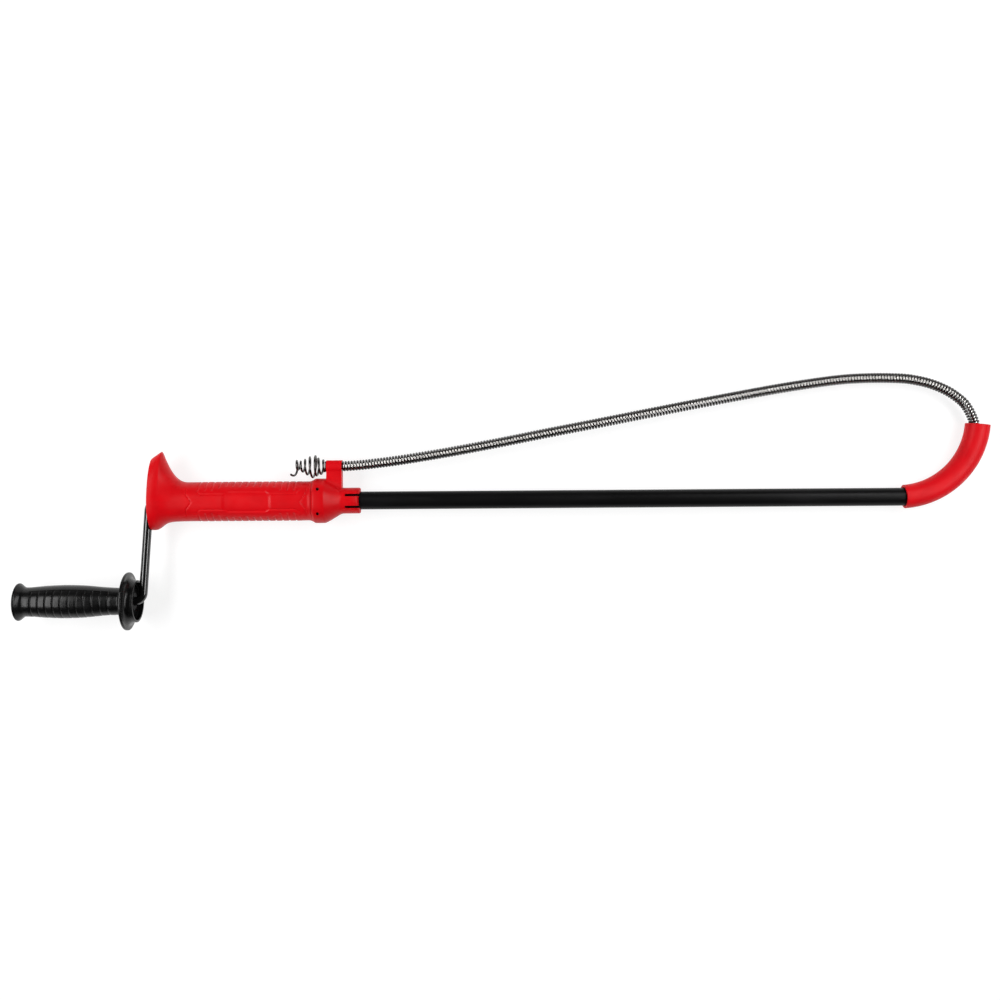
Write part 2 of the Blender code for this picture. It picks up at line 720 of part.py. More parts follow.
def build_rod_end(parent, steel):
    """Coupling that joins rod and cable, its cross pin, and the ring that keeps the slide bushing."""
    rod_bore = flats_to(ROD_RADIUS + SEAT, TUBE_SIDES)
    cable_bore = flats_to(CABLE_RADIUS + SEAT, TUBE_SIDES)
    profile = [
        (COUPLING_REAR + ROD_SOCKET, 0.0),
        (COUPLING_REAR + ROD_SOCKET, rod_bore),
        (COUPLING_REAR, rod_bore),
        (COUPLING_REAR, COUPLING_RADIUS),
        (COUPLING_FRONT, COUPLING_RADIUS),
        (COUPLING_FRONT, cable_bore),
        (COUPLING_FRONT - CABLE_SOCKET, cable_bore),
        (COUPLING_FRONT - CABLE_SOCKET, 0.0),
    ]
    coupling = add_mesh("cable_coupling", turn_profile(profile, TUBE_SIDES, False), steel, parent)
    cross_pin("coupling_pin", PIN_DIAMETER, 2 * (COUPLING_RADIUS - 2 * SEAT), steel, parent)
    hole = cross_pin("pin_hole", PIN_DIAMETER + 2 * SEAT, 4 * COUPLING_RADIUS, steel, parent)
    cut(coupling, hole)
    plain_ring("bushing_ring", RING_REAR, RING_FRONT, rod_bore, RING_RADIUS, TUBE_SIDES, steel, parent)
    return hole


def rounded_path(corners, radius, steps):
    """Points and headings of a path with its inner corners rounded."""
    path = [(corners[0], (corners[1] - corners[0]).normalized())]
    for before, corner, after in zip(corners, corners[1:], corners[2:]):
        arriving = (corner - before).normalized()
        leaving = (after - corner).normalized()
        turn = arriving.angle(leaving)
        way = math.copysign(1.0, arriving.x * leaving.y - arriving.y * leaving.x)
        start = corner - arriving * radius * math.tan(turn / 2)
        side = Vector((-arriving.y, arriving.x, 0.0)) * way
        for i in range(steps + 1):
            angle = turn * i / steps
            heading = arriving * math.cos(angle) + side * math.sin(angle)
            place = start + radius * (arriving * math.sin(angle) + side * (1 - math.cos(angle)))
            path.append((place, heading))
    path.append((corners[-1], (corners[-1] - corners[-2]).normalized()))
    return path


def build_rod(parent, steel, pin_hole):
    """One bent bar: the rod in the tube, the raked arm and the handle's axle."""
    axle_end = -HANDLE_FAR + PLUG_RECESS + PLUG_LENGTH + 2 * SEAT
    corners = [
        Vector((ROD_FRONT, 0.0, 0.0)),
        Vector((ARM_AT_AXIS, 0.0, 0.0)),
        Vector((ARM_AT_HANDLE, -CRANK_THROW, 0.0)),
        Vector((axle_end, -CRANK_THROW, 0.0)),
    ]
    path = rounded_path(corners, ROD_BEND_RADIUS, ROD_BEND_STEPS)
    rings = [ring_across(point, heading, ROD_RADIUS, ROD_SIDES) for point, heading in path]
    rod = add_mesh("crank_rod", loft_rings(rings, False), steel, parent)
    cut(rod, pin_hole)
    return rod


def handle_radius(out):
    """The handle's grip between its flange and its flared end, as a gentle barrel."""
    start = FLANGE_PLACE + FLANGE_EDGE
    end = HANDLE_FAR - HANDLE_END_LENGTH
    share = min(1.0, max(0.0, (out - start) / (end - start)))
    straight = HANDLE_NECK_RADIUS + (HANDLE_WAIST_RADIUS - HANDLE_NECK_RADIUS) * share
    middle = (HANDLE_NECK_RADIUS + HANDLE_WAIST_RADIUS) / 2
    return straight + (HANDLE_BELLY_RADIUS - middle) * math.sin(math.pi * share)


def handle_ring(out, radius, grooved):
    """A cross-section of the handle, with the finger groove on one side of it."""
    ring = []
    for i in range(HANDLE_SIDES):
        angle = FULL_TURN * i / HANDLE_SIDES
        depth = GROOVE_DEPTH if grooved and GROOVE_FROM < angle < GROOVE_TO else 0.0
        ring.append(Vector((-out, (radius - depth) * math.cos(angle), (radius - depth) * math.sin(angle))))
    return ring


def build_handle(parent, rubber):
    """Crank handle: hub cup, flange, grooved barrel and flared end, bored for the axle."""
    bore = flats_to(ROD_RADIUS + RUNNING, HANDLE_SIDES)
    rings = [
        handle_ring(HANDLE_NEAR, CUP_RADIUS, False),
        handle_ring(HANDLE_NEAR, HUB_RADIUS, False),
        handle_ring(FLANGE_PLACE - 2 * FLANGE_EDGE, HUB_RADIUS + FLANGE_EDGE / 3, False),
        handle_ring(FLANGE_PLACE - FLANGE_EDGE, (HUB_RADIUS + FLANGE_RADIUS) / 2, False),
        handle_ring(FLANGE_PLACE - FLANGE_EDGE / 3, FLANGE_RADIUS, False),
        handle_ring(FLANGE_PLACE + FLANGE_EDGE / 3, FLANGE_RADIUS, False),
        handle_ring(FLANGE_PLACE + FLANGE_EDGE, (HUB_RADIUS + FLANGE_RADIUS) / 2, False),
        handle_ring(FLANGE_PLACE + 2 * FLANGE_EDGE, HANDLE_NECK_RADIUS + FLANGE_EDGE, False),
    ]
    for i in range(GROOVE_COUNT):
        place = GROOVE_START + GROOVE_PITCH * i
        for shift in (-GROOVE_WIDTH, 0.0, GROOVE_WIDTH):
            rings.append(handle_ring(place + shift, handle_radius(place + shift), shift == 0.0))
    end = HANDLE_FAR - HANDLE_END_LENGTH
    lip = HANDLE_END_RADIUS - HANDLE_WAIST_RADIUS
    rings += [
        handle_ring(end, HANDLE_WAIST_RADIUS, False),
        handle_ring(end + HANDLE_END_LENGTH * 0.45, HANDLE_WAIST_RADIUS + lip * 0.55, False),
        handle_ring(end + HANDLE_END_LENGTH * 0.75, HANDLE_END_RADIUS, False),
        handle_ring(HANDLE_FAR, HANDLE_END_RADIUS - lip * 0.4, False),
        handle_ring(HANDLE_FAR, AXLE_POCKET_RADIUS, False),
        handle_ring(HANDLE_FAR - AXLE_POCKET, AXLE_POCKET_RADIUS, False),
        handle_ring(HANDLE_FAR - AXLE_POCKET, bore, False),
        handle_ring(HANDLE_NEAR + CUP_DEPTH, bore, False),
        handle_ring(HANDLE_NEAR + CUP_DEPTH, CUP_RADIUS, False),
    ]
    return add_mesh("handle_grip", loft_rings(rings, True), rubber, parent)


def build_plug(parent, rubber):
    """End plug, let into the pocket that holds the axle's nut."""
    radius = AXLE_POCKET_RADIUS * math.cos(math.pi / HANDLE_SIDES) - SEAT
    outer = -HANDLE_FAR + PLUG_RECESS
    profile = [(outer, 0.0), (outer, radius), (outer + PLUG_LENGTH, radius), (outer + PLUG_LENGTH, 0.0)]
    return add_mesh("handle_plug", turn_profile(profile, HANDLE_SIDES, False), rubber, parent)


def build_axle_fittings(parent, steel):
    """Thrust washer in the hub cup; washer and nut in the pocket at the axle's end."""
    bore = flats_to(ROD_RADIUS + SEAT, TUBE_SIDES)
    cup_floor = -HANDLE_NEAR - CUP_DEPTH
    inner = cup_floor + SEAT
    plain_ring("hub_washer", inner, inner + WASHER_THICKNESS, bore, WASHER_RADIUS, TUBE_SIDES, steel, parent)
    floor = -HANDLE_FAR + AXLE_POCKET - SEAT
    seat = floor - WASHER_THICKNESS
    plain_ring("axle_washer", seat, floor, bore, WASHER_RADIUS, TUBE_SIDES, steel, parent)
    nut = seat - SEAT
    nut_bore = flats_to(ROD_RADIUS + SEAT, 6)
    plain_ring("axle_nut", nut - NUT_THICKNESS, nut, nut_bore, NUT_RADIUS, 6, steel, parent)


def stand_on_floor(tool, left_out):
    """Move the tool so that the middle of its underside is the origin, without the pieces left out."""
    bpy.context.view_layer.update()
    graph = bpy.context.evaluated_depsgraph_get()
    points = []
    for obj in bpy.data.objects:
        if obj.type == "EMPTY" or obj.hide_render or obj in left_out:
            continue
        mesh = obj.evaluated_get(graph).to_mesh()
        points += [obj.matrix_world @ vert.co for vert in mesh.vertices]
    low = [min(point[axis] for point in points) for axis in range(3)]
    high = [max(point[axis] for point in points) for axis in range(3)]
    tool.location = (-(low[0] + high[0]) / 2, -(low[1] + high[1]) / 2, -low[2])


def main():
    clear_scene()
    red = make_material("red_moulding", (0.62, 0.006, 0.012), 0.42)
    vinyl = make_material("red_vinyl", (0.62, 0.008, 0.016), 0.38)
    black = make_material("black_tube", (0.008, 0.008, 0.009), 0.3)
    rubber = make_material("black_handle", (0.010, 0.010, 0.011), 0.5)
    plastic = make_material("white_nylon", (0.7, 0.68, 0.62), 0.5)
    rod_steel = make_material("dark_rod", (0.03, 0.028, 0.03), 0.25, 0.8)
    cable_steel = make_material("cable_steel", (0.45, 0.43, 0.42), 0.3, 1.0)
    fitting_steel = make_material("plain_steel", (0.5, 0.5, 0.5), 0.35, 1.0)
    screw_steel = make_material("black_screw", (0.01, 0.01, 0.01), 0.4, 0.7)

    tool = make_empty("tool")
    crank_axis = make_empty("crank_axis", tool)
    handle_axis = make_empty("handle_axis", crank_axis, (0.0, -CRANK_THROW, 0.0))
    head_axis = make_empty("head_axis", tool, (0.0, CABLE_Y_AT_CLIP, 0.0))

    build_grip(tool, red)
    build_collar(tool, red)
    build_screws(tool, screw_steel)
    build_tube(tool, black)
    build_guard(tool, vinyl)
    build_rear_bushing(tool, plastic)
    cable = build_cable(tool, cable_steel)

    build_slide_bushing(crank_axis, plastic)
    pin_hole = build_rod_end(crank_axis, fitting_steel)
    build_rod(crank_axis, rod_steel, pin_hole)
    build_axle_fittings(handle_axis, fitting_steel)
    build_handle(handle_axis, rubber)
    build_plug(handle_axis, rubber)

    head = build_head(head_axis, cable_steel)

    crank_axis.rotation_euler.x = -CRANK_LEAN
    stand_on_floor(tool, (cable, head))
    print(f"crank travel {CRANK_TRAVEL:.4f} m, crank lean {math.degrees(CRANK_LEAN):.2f} degrees")


main()
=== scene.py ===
"""Looks of a hand-cranked closet auger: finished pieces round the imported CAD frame, and a plain studio.

Places are worked out in the tool frame, in metres: X runs along the guide tube from the rear rim of the grip,
+Y is the side that the bowl guard bends to, and +Z is up as the tool lies on a floor.
"""

import json
import math

import bmesh
import bpy
from bmesh.types import BMEdge, BMVert
from bpy.props import FloatProperty, FloatVectorProperty, IntProperty, PointerProperty
from mathutils import Matrix, Vector, kdtree


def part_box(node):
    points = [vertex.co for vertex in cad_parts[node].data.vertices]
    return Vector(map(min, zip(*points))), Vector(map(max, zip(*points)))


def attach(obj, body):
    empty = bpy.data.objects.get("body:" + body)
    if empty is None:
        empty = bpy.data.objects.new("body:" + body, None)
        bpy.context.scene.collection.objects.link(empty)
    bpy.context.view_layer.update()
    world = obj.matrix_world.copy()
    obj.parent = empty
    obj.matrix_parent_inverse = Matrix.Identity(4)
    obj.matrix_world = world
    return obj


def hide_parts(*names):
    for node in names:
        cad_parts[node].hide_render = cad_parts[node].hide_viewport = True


bl_info = {
    "name": "Closet Auger",
    "version": (1, 0, 0),
    "blender": (4, 5, 0),
    "location": "View3D > Sidebar > Auger",
    "description": "Finished pieces, wound cable and studio of a hand-cranked closet auger",
    "category": "Object",
}

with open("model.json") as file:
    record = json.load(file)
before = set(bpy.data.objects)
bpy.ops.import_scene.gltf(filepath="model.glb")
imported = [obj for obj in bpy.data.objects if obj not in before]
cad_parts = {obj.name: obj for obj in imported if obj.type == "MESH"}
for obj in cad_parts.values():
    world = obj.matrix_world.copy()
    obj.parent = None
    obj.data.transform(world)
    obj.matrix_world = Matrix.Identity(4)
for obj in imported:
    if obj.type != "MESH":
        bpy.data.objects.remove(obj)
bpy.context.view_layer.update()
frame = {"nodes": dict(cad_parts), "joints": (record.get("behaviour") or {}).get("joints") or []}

# Places that the frame gives
JOINTS = {joint["name"]: joint for joint in frame["joints"]}
TOOL = Vector(JOINTS["crank_turn"]["pos_m"])
HANDLE = Vector(JOINTS["handle_spin"]["pos_m"])
HEAD = Vector(JOINTS["head_turn"]["pos_m"])
CRANK_THROW = (HANDLE - TOOL).length
CRANK_LEAN = math.atan2(HANDLE.z - TOOL.z, TOOL.y - HANDLE.y)
TOOL_PLACE = Matrix.Translation(TOOL)
CRANK_PLACE = TOOL_PLACE @ Matrix.Rotation(-CRANK_LEAN, 4, "X")
HANDLE_PLACE = CRANK_PLACE @ Matrix.Translation((0.0, -CRANK_THROW, 0.0))
TURN = 2 * math.pi
X_AXIS = (1.0, 0.0, 0.0)
Y_AXIS = (0.0, 1.0, 0.0)
Z_AXIS = (0.0, 0.0, 1.0)

# Fits that several pieces share
CLEARANCE = 0.0003
ROD_CLEARANCE = 0.00035
TOLERANCE = 1e-6


def reach(node, high):
    """How far along the tool a CAD node starts or ends."""
    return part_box(node)[1 if high else 0].x - TOOL.x


def length(name, description, default):
    return FloatProperty(name=name, description=description, default=default, unit="LENGTH", precision=5)


def angle(name, description, degrees):
    return FloatProperty(name=name, description=description, default=math.radians(degrees), subtype="ANGLE")


def amount(name, description, default, unit="NONE"):
    return FloatProperty(name=name, description=description, default=default, unit=unit)


def colour(name, description, default):
    return FloatVectorProperty(
        name=name, description=description, default=default, subtype="COLOR", size=3, min=0.0, max=1.0
    )


class AugerColours(bpy.types.PropertyGroup):
    """Finishes of the tool."""

    moulding: colour("Moulding", "Red of the grip and collar", (0.64, 0.0022, 0.0060))
    vinyl: colour("Vinyl", "Red of the bowl guard", (0.65, 0.0030, 0.0080))
    tube: colour("Tube", "Black paint of the guide tube", (0.0035, 0.0034, 0.0036))
    handle: colour("Handle", "Black of the crank handle", (0.0035, 0.0035, 0.0036))
    rod: colour("Rod", "Dark steel of the crank rod", (0.006, 0.006, 0.006))
    # Bright and dark tone of the wire: painted light on the cable's top, painted shade on its sides and
    # hollows
    wire: colour("Wire", "Bright ridge of the cable's steel wire", (0.48, 0.465, 0.45))
    dark_tone_and_painted_shade: colour("Grime", "Oiled hollow between the cable's turns", (0.010, 0.0095, 0.009))
    nylon: colour("Nylon", "White of the bushings", (0.62, 0.60, 0.55))
    fittings: colour("Fittings", "Plain steel of washers and coupling", (0.45, 0.45, 0.46))
    screw: colour("Screw", "Blackened steel of the collar screws", (0.006, 0.006, 0.0065))


class AugerGrip(bpy.types.PropertyGroup):
    """Sizes of the red grip moulding."""

    radius: length("Radius", "Radius of the round grip", 0.0248)
    length: length("Length", "Rear rim to the collar", 0.2041)
    rim_bottom: length("Rim bottom", "Reach of the rear rim below the axis", 0.0359)
    rim_side: length("Rim side", "Reach of the rear rim to each side", 0.0290)
    rim_swell: length("Rim swell", "How fast the rim runs out into the grip", 0.0145)
    hook_height: length("Hook height", "Height of the hook's tip above the axis", 0.0643)
    hook_rear: length("Hook rear", "Height of the hook at the rear rim", 0.0552)
    hook_tip: length("Hook tip", "Place of the hook's tip along the tool", 0.0128)
    hook_swell: length("Hook run", "Length of the run from the hook's tip down to the grip", 0.0340)
    bell_depth: length("Bell depth", "Depth of the hollow behind the rim", 0.0160)
    bell_wall: length("Bell wall", "Thickness of the rim", 0.0035)
    bell_floor: length("Bell floor", "Radius of the hollow's floor", 0.0185)
    shoulder: length("Shoulder", "How far the grip swells out to the collar", 0.0014)
    shoulder_run: length("Shoulder run", "Length of the swell before the collar", 0.0050)
    rib_start: length("Rib start", "Place of the first gap between ribs", 0.0627)
    rib_pitch: length("Rib pitch", "Step from rib to rib", 0.0086)
    rib_gaps: IntProperty(name="Rib gaps", description="Number of gaps between ribs", default=15)
    rib_depth: length("Rib depth", "Depth of a gap between ribs", 0.0009)
    patch_rise: length("Patch rise", "Step from the plain side band up to the ribs", 0.0002)
    panel_depth: length("Panel depth", "How deep the side panel is sunk", 0.0008)


class AugerCollar(bpy.types.PropertyGroup):
    """Sizes of the nose moulding, its clamp fingers, its clip and its screws."""

    radius: length("Radius", "Largest radius of the collar", 0.0283)
    chamfer: length("Chamfer", "Length of the rear chamfer", 0.0033)
    straight: length("Straight", "Length of the round part", 0.0126)
    cone: length("Cone", "Length of the cone", 0.0208)
    finger_radius: length("Finger radius", "Radius of the clamp fingers", 0.0164)
    finger_chamfer: length("Finger chamfer", "Chamfer at the fingers' ends", 0.0014)
    slot_width: length("Slot width", "Width of the cuts between fingers", 0.0030)
    slot_off: length("Slot off", "Middle plane of the tool to the cuts", 0.0075)
    slot_setback: length("Slot setback", "Cone to the start of the cuts", 0.0050)
    screw_setback: length("Screw setback", "Collar's rear edge to the screws", 0.0088)
    screw_diameter: length("Screw diameter", "Diameter of the screw holes", 0.0041)
    screw_recess: length("Screw recess", "Depth of the screws below the surface", 0.0026)
    finger_bow: length("Finger bow", "How much shorter the fingers are on the tool's two faces", 0.0032)
    clip_length: length("Clip length", "Length of the cable clip", 0.0194)
    clip_wall: length("Clip wall", "Thickness of the clip's arms", 0.0020)
    clip_mouth: angle("Clip mouth", "Half the opening of the clip", 30.0)
    clip_post: length("Clip post", "Width of the clip's post", 0.0136)
    clip_setback: length("Clip setback", "Collar's rear edge to the clip", 0.0176)


class AugerGuide(bpy.types.PropertyGroup):
    """Sizes of the guide tube and the bowl guard on its bend."""

    tube_diameter: length("Tube diameter", "Outer diameter of the tube", 0.0228)
    tube_wall: length("Tube wall", "Wall of the tube", 0.0015)
    bend_start: length("Bend start", "Place along the tool where the bend starts", 0.9480)
    bend_radius: length("Bend radius", "Radius of the bend's centre line", 0.1009)
    guard_rear: length("Guard rear", "Diameter of the guard at its rear end", 0.0299)
    guard_mouth: length("Guard mouth", "Diameter of the guard at its mouth", 0.0308)
    guard_wall: length("Guard wall", "Wall of the guard", 0.0029)
    guard_from: angle("Guard from", "Angle of the bend where the guard starts", 3.5)
    guard_to: angle("Guard to", "Angle of the bend at the guard's mouth", 84.7)
    tube_to: angle("Tube to", "Angle of the bend where the tube ends", 75.9)


class AugerCable(bpy.types.PropertyGroup):
    """Sizes of the wound cable and its bulb head."""

    diameter: length("Diameter", "Outer diameter of the cable", 0.0132)
    wire: length("Wire", "Diameter of the wound wire", 0.0032)
    pitch: length("Pitch", "Step from turn to turn", 0.00381)
    head_wire: length("Head wire", "Diameter of the bulb head's wire", 0.0028)


class AugerCrank(bpy.types.PropertyGroup):
    """Sizes of the crank rod and its handle, with distances out from the grip's rear rim."""

    rod_diameter: length("Rod diameter", "Diameter of the bent rod", 0.0106)
    rod_bend: length("Rod bend", "Radius of the rod's bends", 0.0110)
    arm_rake: angle("Arm rake", "Slant of the crank arm", 3.1)
    arm_at_axis: length("Arm at axis", "Place of the arm where it meets the tool's axis", -0.0041)
    handle_near: length("Handle near", "Distance out to the hub's face", 0.0168)
    handle_far: length("Handle far", "Distance out to the handle's end", 0.1685)
    hub_radius: length("Hub radius", "Radius of the hub", 0.0265)
    cup_radius: length("Cup radius", "Radius of the hollow in the hub", 0.0238)
    cup_depth: length("Cup depth", "Depth of the hollow in the hub", 0.0060)
    flange_radius: length("Flange radius", "Radius of the hand guard", 0.0364)
    flange_place: length("Flange place", "Distance out to the hand guard", 0.0282)
    groove_start: length("Groove start", "Distance out to the first groove", 0.0511)
    groove_pitch: length("Groove pitch", "Step from groove to groove", 0.0096)
    groove_count: IntProperty(name="Groove count", description="Number of finger grooves", default=11)
    groove_depth: length("Groove depth", "Depth of a finger groove", 0.0006)
    band_rise: length("Band rise", "Step from the ribbed part up to the plain band", 0.0003)


class AugerStudio(bpy.types.PropertyGroup):
    """Camera, lamps and floor."""

    focal_length: amount("Focal length", "Lens in millimetres", 42.84, unit="CAMERA")
    height: length("Height", "Camera above the tool's axis", 1.511)
    off_axis: length("Off axis", "Camera to the guard's side of the tool's axis", 0.0544)
    roll: angle("Roll", "Turn of the camera about its line of sight", -0.403)
    right_power: amount("Right lamp", "Power of the right softbox in watts", 38.0, unit="POWER")
    left_power: amount("Left lamp", "Power of the left softbox in watts", 38.0, unit="POWER")
    horizon: amount("Horizon", "Brightness of the walls near the floor", 0.3)
    overhead: amount("Overhead", "Brightness of the ceiling", 0.012)
    floor: colour("Floor", "Colour of the floor", (0.92, 0.92, 0.92))


# The cable's route: angles of the bend, then places from the guard to the clip
CABLE_START = 0.9303
CABLE_BEND_ANGLES = [math.radians(a) for a in (0.0, 6.0, 18.0, 36.0, 54.0)]
CABLE_FREE_POINTS = [
    (1.0433, 0.0672),
    (1.0452, 0.0778),
    (1.0447, 0.0895),
    (1.0416, 0.1000),
    (1.0358, 0.1115),
    (1.0283, 0.1209),
    (1.0115, 0.1332),
    (0.9908, 0.1424),
    (0.9700, 0.1477),
    (0.9500, 0.1502),
    (0.9100, 0.1508),
    (0.8690, 0.1485),
    (0.8080, 0.1402),
    (0.7470, 0.1298),
    (0.6860, 0.1187),
    (0.6250, 0.1072),
    (0.5640, 0.0956),
    (0.5030, 0.0842),
    (0.4420, 0.0724),
    (0.3810, 0.0613),
    (0.3200, 0.0516),
    (0.2800, 0.0466),
    (0.2590, 0.0446),
    (0.2425, 0.0437),
]


def smooth_step(value, low, high):
    """0 below low, 1 above high, and a smooth rise between them."""
    share = min(1.0, max(0.0, (value - low) / (high - low)))
    return share * share * (3 - 2 * share)


def smooth_curve(points, steps):
    """Points along a smooth curve that passes through every given point."""
    ends = [2 * points[0] - points[1]] + points + [2 * points[-1] - points[-2]]
    curve = []
    for a, b, c, d in zip(ends, ends[1:], ends[2:], ends[3:]):
        for i in range(steps):
            t = i / steps
            square = 2 * a - 5 * b + 4 * c - d
            cube = 3 * b - a - 3 * c + d
            curve.append(0.5 * (2 * b + (c - a) * t + square * t**2 + cube * t**3))
    return curve + [points[-1]]


def even_points(curve, count):
    """The curve's points respaced to equal steps, and its length."""
    lengths = [0.0]
    for near, far in zip(curve, curve[1:]):
        lengths.append(lengths[-1] + (far - near).length)
    spaced = []
    leg = 0
    for i in range(count):
        target = lengths[-1] * i / (count - 1)
        while leg < len(curve) - 2 and lengths[leg + 1] < target:
            leg += 1
        share = (target - lengths[leg]) / (lengths[leg + 1] - lengths[leg])
        spaced.append(curve[leg].lerp(curve[leg + 1], share))
    return spaced, lengths[-1]


# Materials

# Parts of a noise pattern's range that are spread over a finish
NOISE_CORE = (0.35, 0.65)
NOISE_RANGE = (0.3, 0.7)


def feed(tree, node, inputs):
    """Set a node's inputs to values, or link them to other nodes' outputs."""
    for name, value in inputs.items():
        if isinstance(value, bpy.types.NodeSocket):
            tree.links.new(value, node.inputs[name])
        else:
            node.inputs[name].default_value = value


def add_node(tree, kind, inputs, **settings):
    """A new node with these settings and inputs."""
    node = tree.nodes.new(kind)
    for name, value in settings.items():
        setattr(node, name, value)
    feed(tree, node, inputs)
    return node


class Finish:
    """A material's node tree, with the few links that the finishes share."""

    def __init__(self, name, tint, roughness, metallic=0.0, specular=0.5):
        surface = bpy.data.materials.new(f"{name}_finish")
        surface.use_nodes = True
        self.tree = surface.node_tree
        self.place = self.add("ShaderNodeTexCoord", {}).outputs["Object"]
        self.feed_shader({"Base Color": (*tint, 1.0), "Roughness": roughness})
        self.feed_shader({"Metallic": metallic, "Specular IOR Level": specular})

    def add(self, kind, inputs, **settings):
        return add_node(self.tree, kind, inputs, **settings)

    def feed_shader(self, inputs):
        feed(self.tree, self.tree.nodes["Principled BSDF"], inputs)

    def noise(self, scale, stretch=(1.0, 1.0, 1.0), detail=3.0):
        """A noise pattern on the piece's own coordinates, drawn out along some axes."""
        spot = self.add("ShaderNodeMapping", {"Vector": self.place, "Scale": stretch}).outputs["Vector"]
        inputs = {"Vector": spot, "Scale": scale, "Detail": detail}
        return self.add("ShaderNodeTexNoise", inputs).outputs["Fac"]

    def spread(self, value, source, target=(0.0, 1.0)):
        """A pattern's values moved from one range to another."""
        ends = {"From Min": source[0], "From Max": source[1], "To Min": target[0], "To Max": target[1]}
        return self.add("ShaderNodeMapRange", {"Value": value, **ends}).outputs["Result"]

    def attribute(self, name):
        """A value stored on the piece's mesh."""
        return self.add("ShaderNodeAttribute", {}, attribute_name=name).outputs["Fac"]

    def mix(self, share, first, second):
        """Colour the surface by two colours, mixed by a share."""
        inputs = {"Factor": share, "A": (*first, 1.0), "B": (*second, 1.0)}
        node = self.add("ShaderNodeMix", inputs, data_type="RGBA")
        self.feed_shader({"Base Color": node.outputs["Result"]})

    def roughen(self, value, target):
        """Let a pattern vary the roughness between two values."""
        self.feed_shader({"Roughness": self.spread(value, NOISE_RANGE, target)})

    def bump(self, height, distance, strength):
        inputs = {"Height": height, "Distance": distance, "Strength": strength}
        self.feed_shader({"Normal": self.add("ShaderNodeBump", inputs).outputs["Normal"]})


def shade(tint, factor):
    return [min(1.0, channel * factor) for channel in tint]


def moulded_plastic(name, tint, roughness, specular, grain):
    """Moulded plastic: slow drift of colour and gloss, and the fine grain of the mould."""
    finish = Finish(name, tint, roughness, specular=specular)
    finish.mix(finish.spread(finish.noise(28.0), NOISE_CORE), shade(tint, 0.93), shade(tint, 1.07))
    finish.roughen(finish.noise(90.0), (roughness - 0.05, roughness + 0.07))
    finish.bump(finish.noise(grain, detail=2.0), distance=0.00006, strength=0.35)


def drawn_steel(name, tint, roughness, along, metallic, specular=0.5):
    """Drawn steel: fine lines along the bar, with a slow change of tone."""
    finish = Finish(name, tint, roughness, metallic, specular)
    stretch = [0.04 if axis == along else 1.0 for axis in range(3)]
    tone = finish.spread(finish.noise(40.0, stretch), NOISE_CORE)
    lines = finish.noise(1400.0, stretch)
    finish.mix(tone, shade(tint, 0.8), shade(tint, 1.15))
    finish.roughen(lines, (roughness - 0.06, roughness + 0.08))
    finish.bump(lines, distance=0.00003, strength=0.2)


def painted_tube(tint):
    """Satin black paint with a slight orange peel and a few rubbed places."""
    finish = Finish("black_tube", tint, 0.36, specular=0.12)
    rubbed = finish.spread(finish.noise(60.0, (0.15, 1.0, 1.0)), (0.55, 0.75))
    finish.mix(rubbed, tint, shade(tint, 2.2))
    finish.roughen(finish.noise(35.0, (0.3, 1.0, 1.0)), (0.31, 0.43))
    finish.bump(finish.noise(900.0, detail=1.0), distance=0.00005, strength=0.18)


def wound_wire(painted_sheen_and_tone, dark_tone_and_painted_shade):
    """Steel wire: a painted highlight along the cable's top, painted shade down its sides and in the hollows
    between turns.
    """
    finish = Finish("cable_steel", painted_sheen_and_tone, 0.24, metallic=1.0)
    finish.mix(finish.spread(finish.attribute("painted_sheen_and_tone"), (0.12, 0.95)), dark_tone_and_painted_shade, painted_sheen_and_tone)
    finish.roughen(finish.noise(500.0), (0.15, 0.24))
    finish.bump(finish.noise(2200.0), distance=0.00002, strength=0.1)


def material(name):
    """The finish of this name."""
    return bpy.data.materials[f"{name}_finish"]


# Mesh helpers

# Angle in degrees past which an edge stays sharp, unless a piece has its own
CREASE = 32.0
# Blender's measure of how round a wire is: this gives 12 sides
WIRE_ROUNDNESS = 4


def only(geometry, kind):
    """The vertices or the edges among what an operator made."""
    return [item for item in geometry if isinstance(item, kind)]


def round_off(bm, geometry, affect, width, segments):
    """Round some vertices or edges, and return the faces that this makes."""
    made = bmesh.ops.bevel(
        bm,
        geom=geometry,
        offset=width,
        offset_type="OFFSET",
        affect=affect,
        segments=segments,
        profile=0.5,
        clamp_overlap=True,
        material=-1,
    )
    return made["faces"]


def turned(outline, steps, eased=(), first_angle=0.0):
    """A closed outline of (X, radius) points, with the eased corners rounded, spun once round the X axis."""
    bm = bmesh.new()
    way = Matrix.Rotation(first_angle, 3, "X")
    verts = [bm.verts.new(way @ Vector((x, radius, 0.0))) for x, radius in outline]
    for pair in zip(verts, verts[1:] + verts[:1]):
        bm.edges.new(pair)
    for corner, radius in eased:
        round_off(bm, [verts[corner]], "VERTICES", radius, segments=4)
    edges = bm.verts[:] + bm.edges[:]
    bmesh.ops.spin(bm, geom=edges, cent=(0.0, 0.0, 0.0), axis=X_AXIS, angle=TURN, steps=steps, use_merge=True)
    return bm


def polar(point):
    """A point's distance from the X axis, and its angle from +Y towards +Z."""
    return math.hypot(point.y, point.z), math.atan2(point.z, point.y)


def at_polar(x, radius, turn):
    return Vector((x, radius * math.cos(turn), radius * math.sin(turn)))


def make_piece(name, bm, place, body, nodes, slot, crease=CREASE, finish=None):
    """A piece from a bmesh: moved to its place, closed, smooth but for its creases, and riding its body."""
    bmesh.ops.remove_doubles(bm, verts=bm.verts, dist=TOLERANCE)
    bmesh.ops.recalc_face_normals(bm, faces=bm.faces)
    bmesh.ops.transform(bm, matrix=place, verts=bm.verts)
    mesh = bpy.data.meshes.new(name)
    bm.to_mesh(mesh)
    bm.free()
    mesh.shade_smooth()
    mesh.set_sharp_from_angle(angle=math.radians(crease))
    return add_piece(name, mesh, body, nodes, slot, finish)


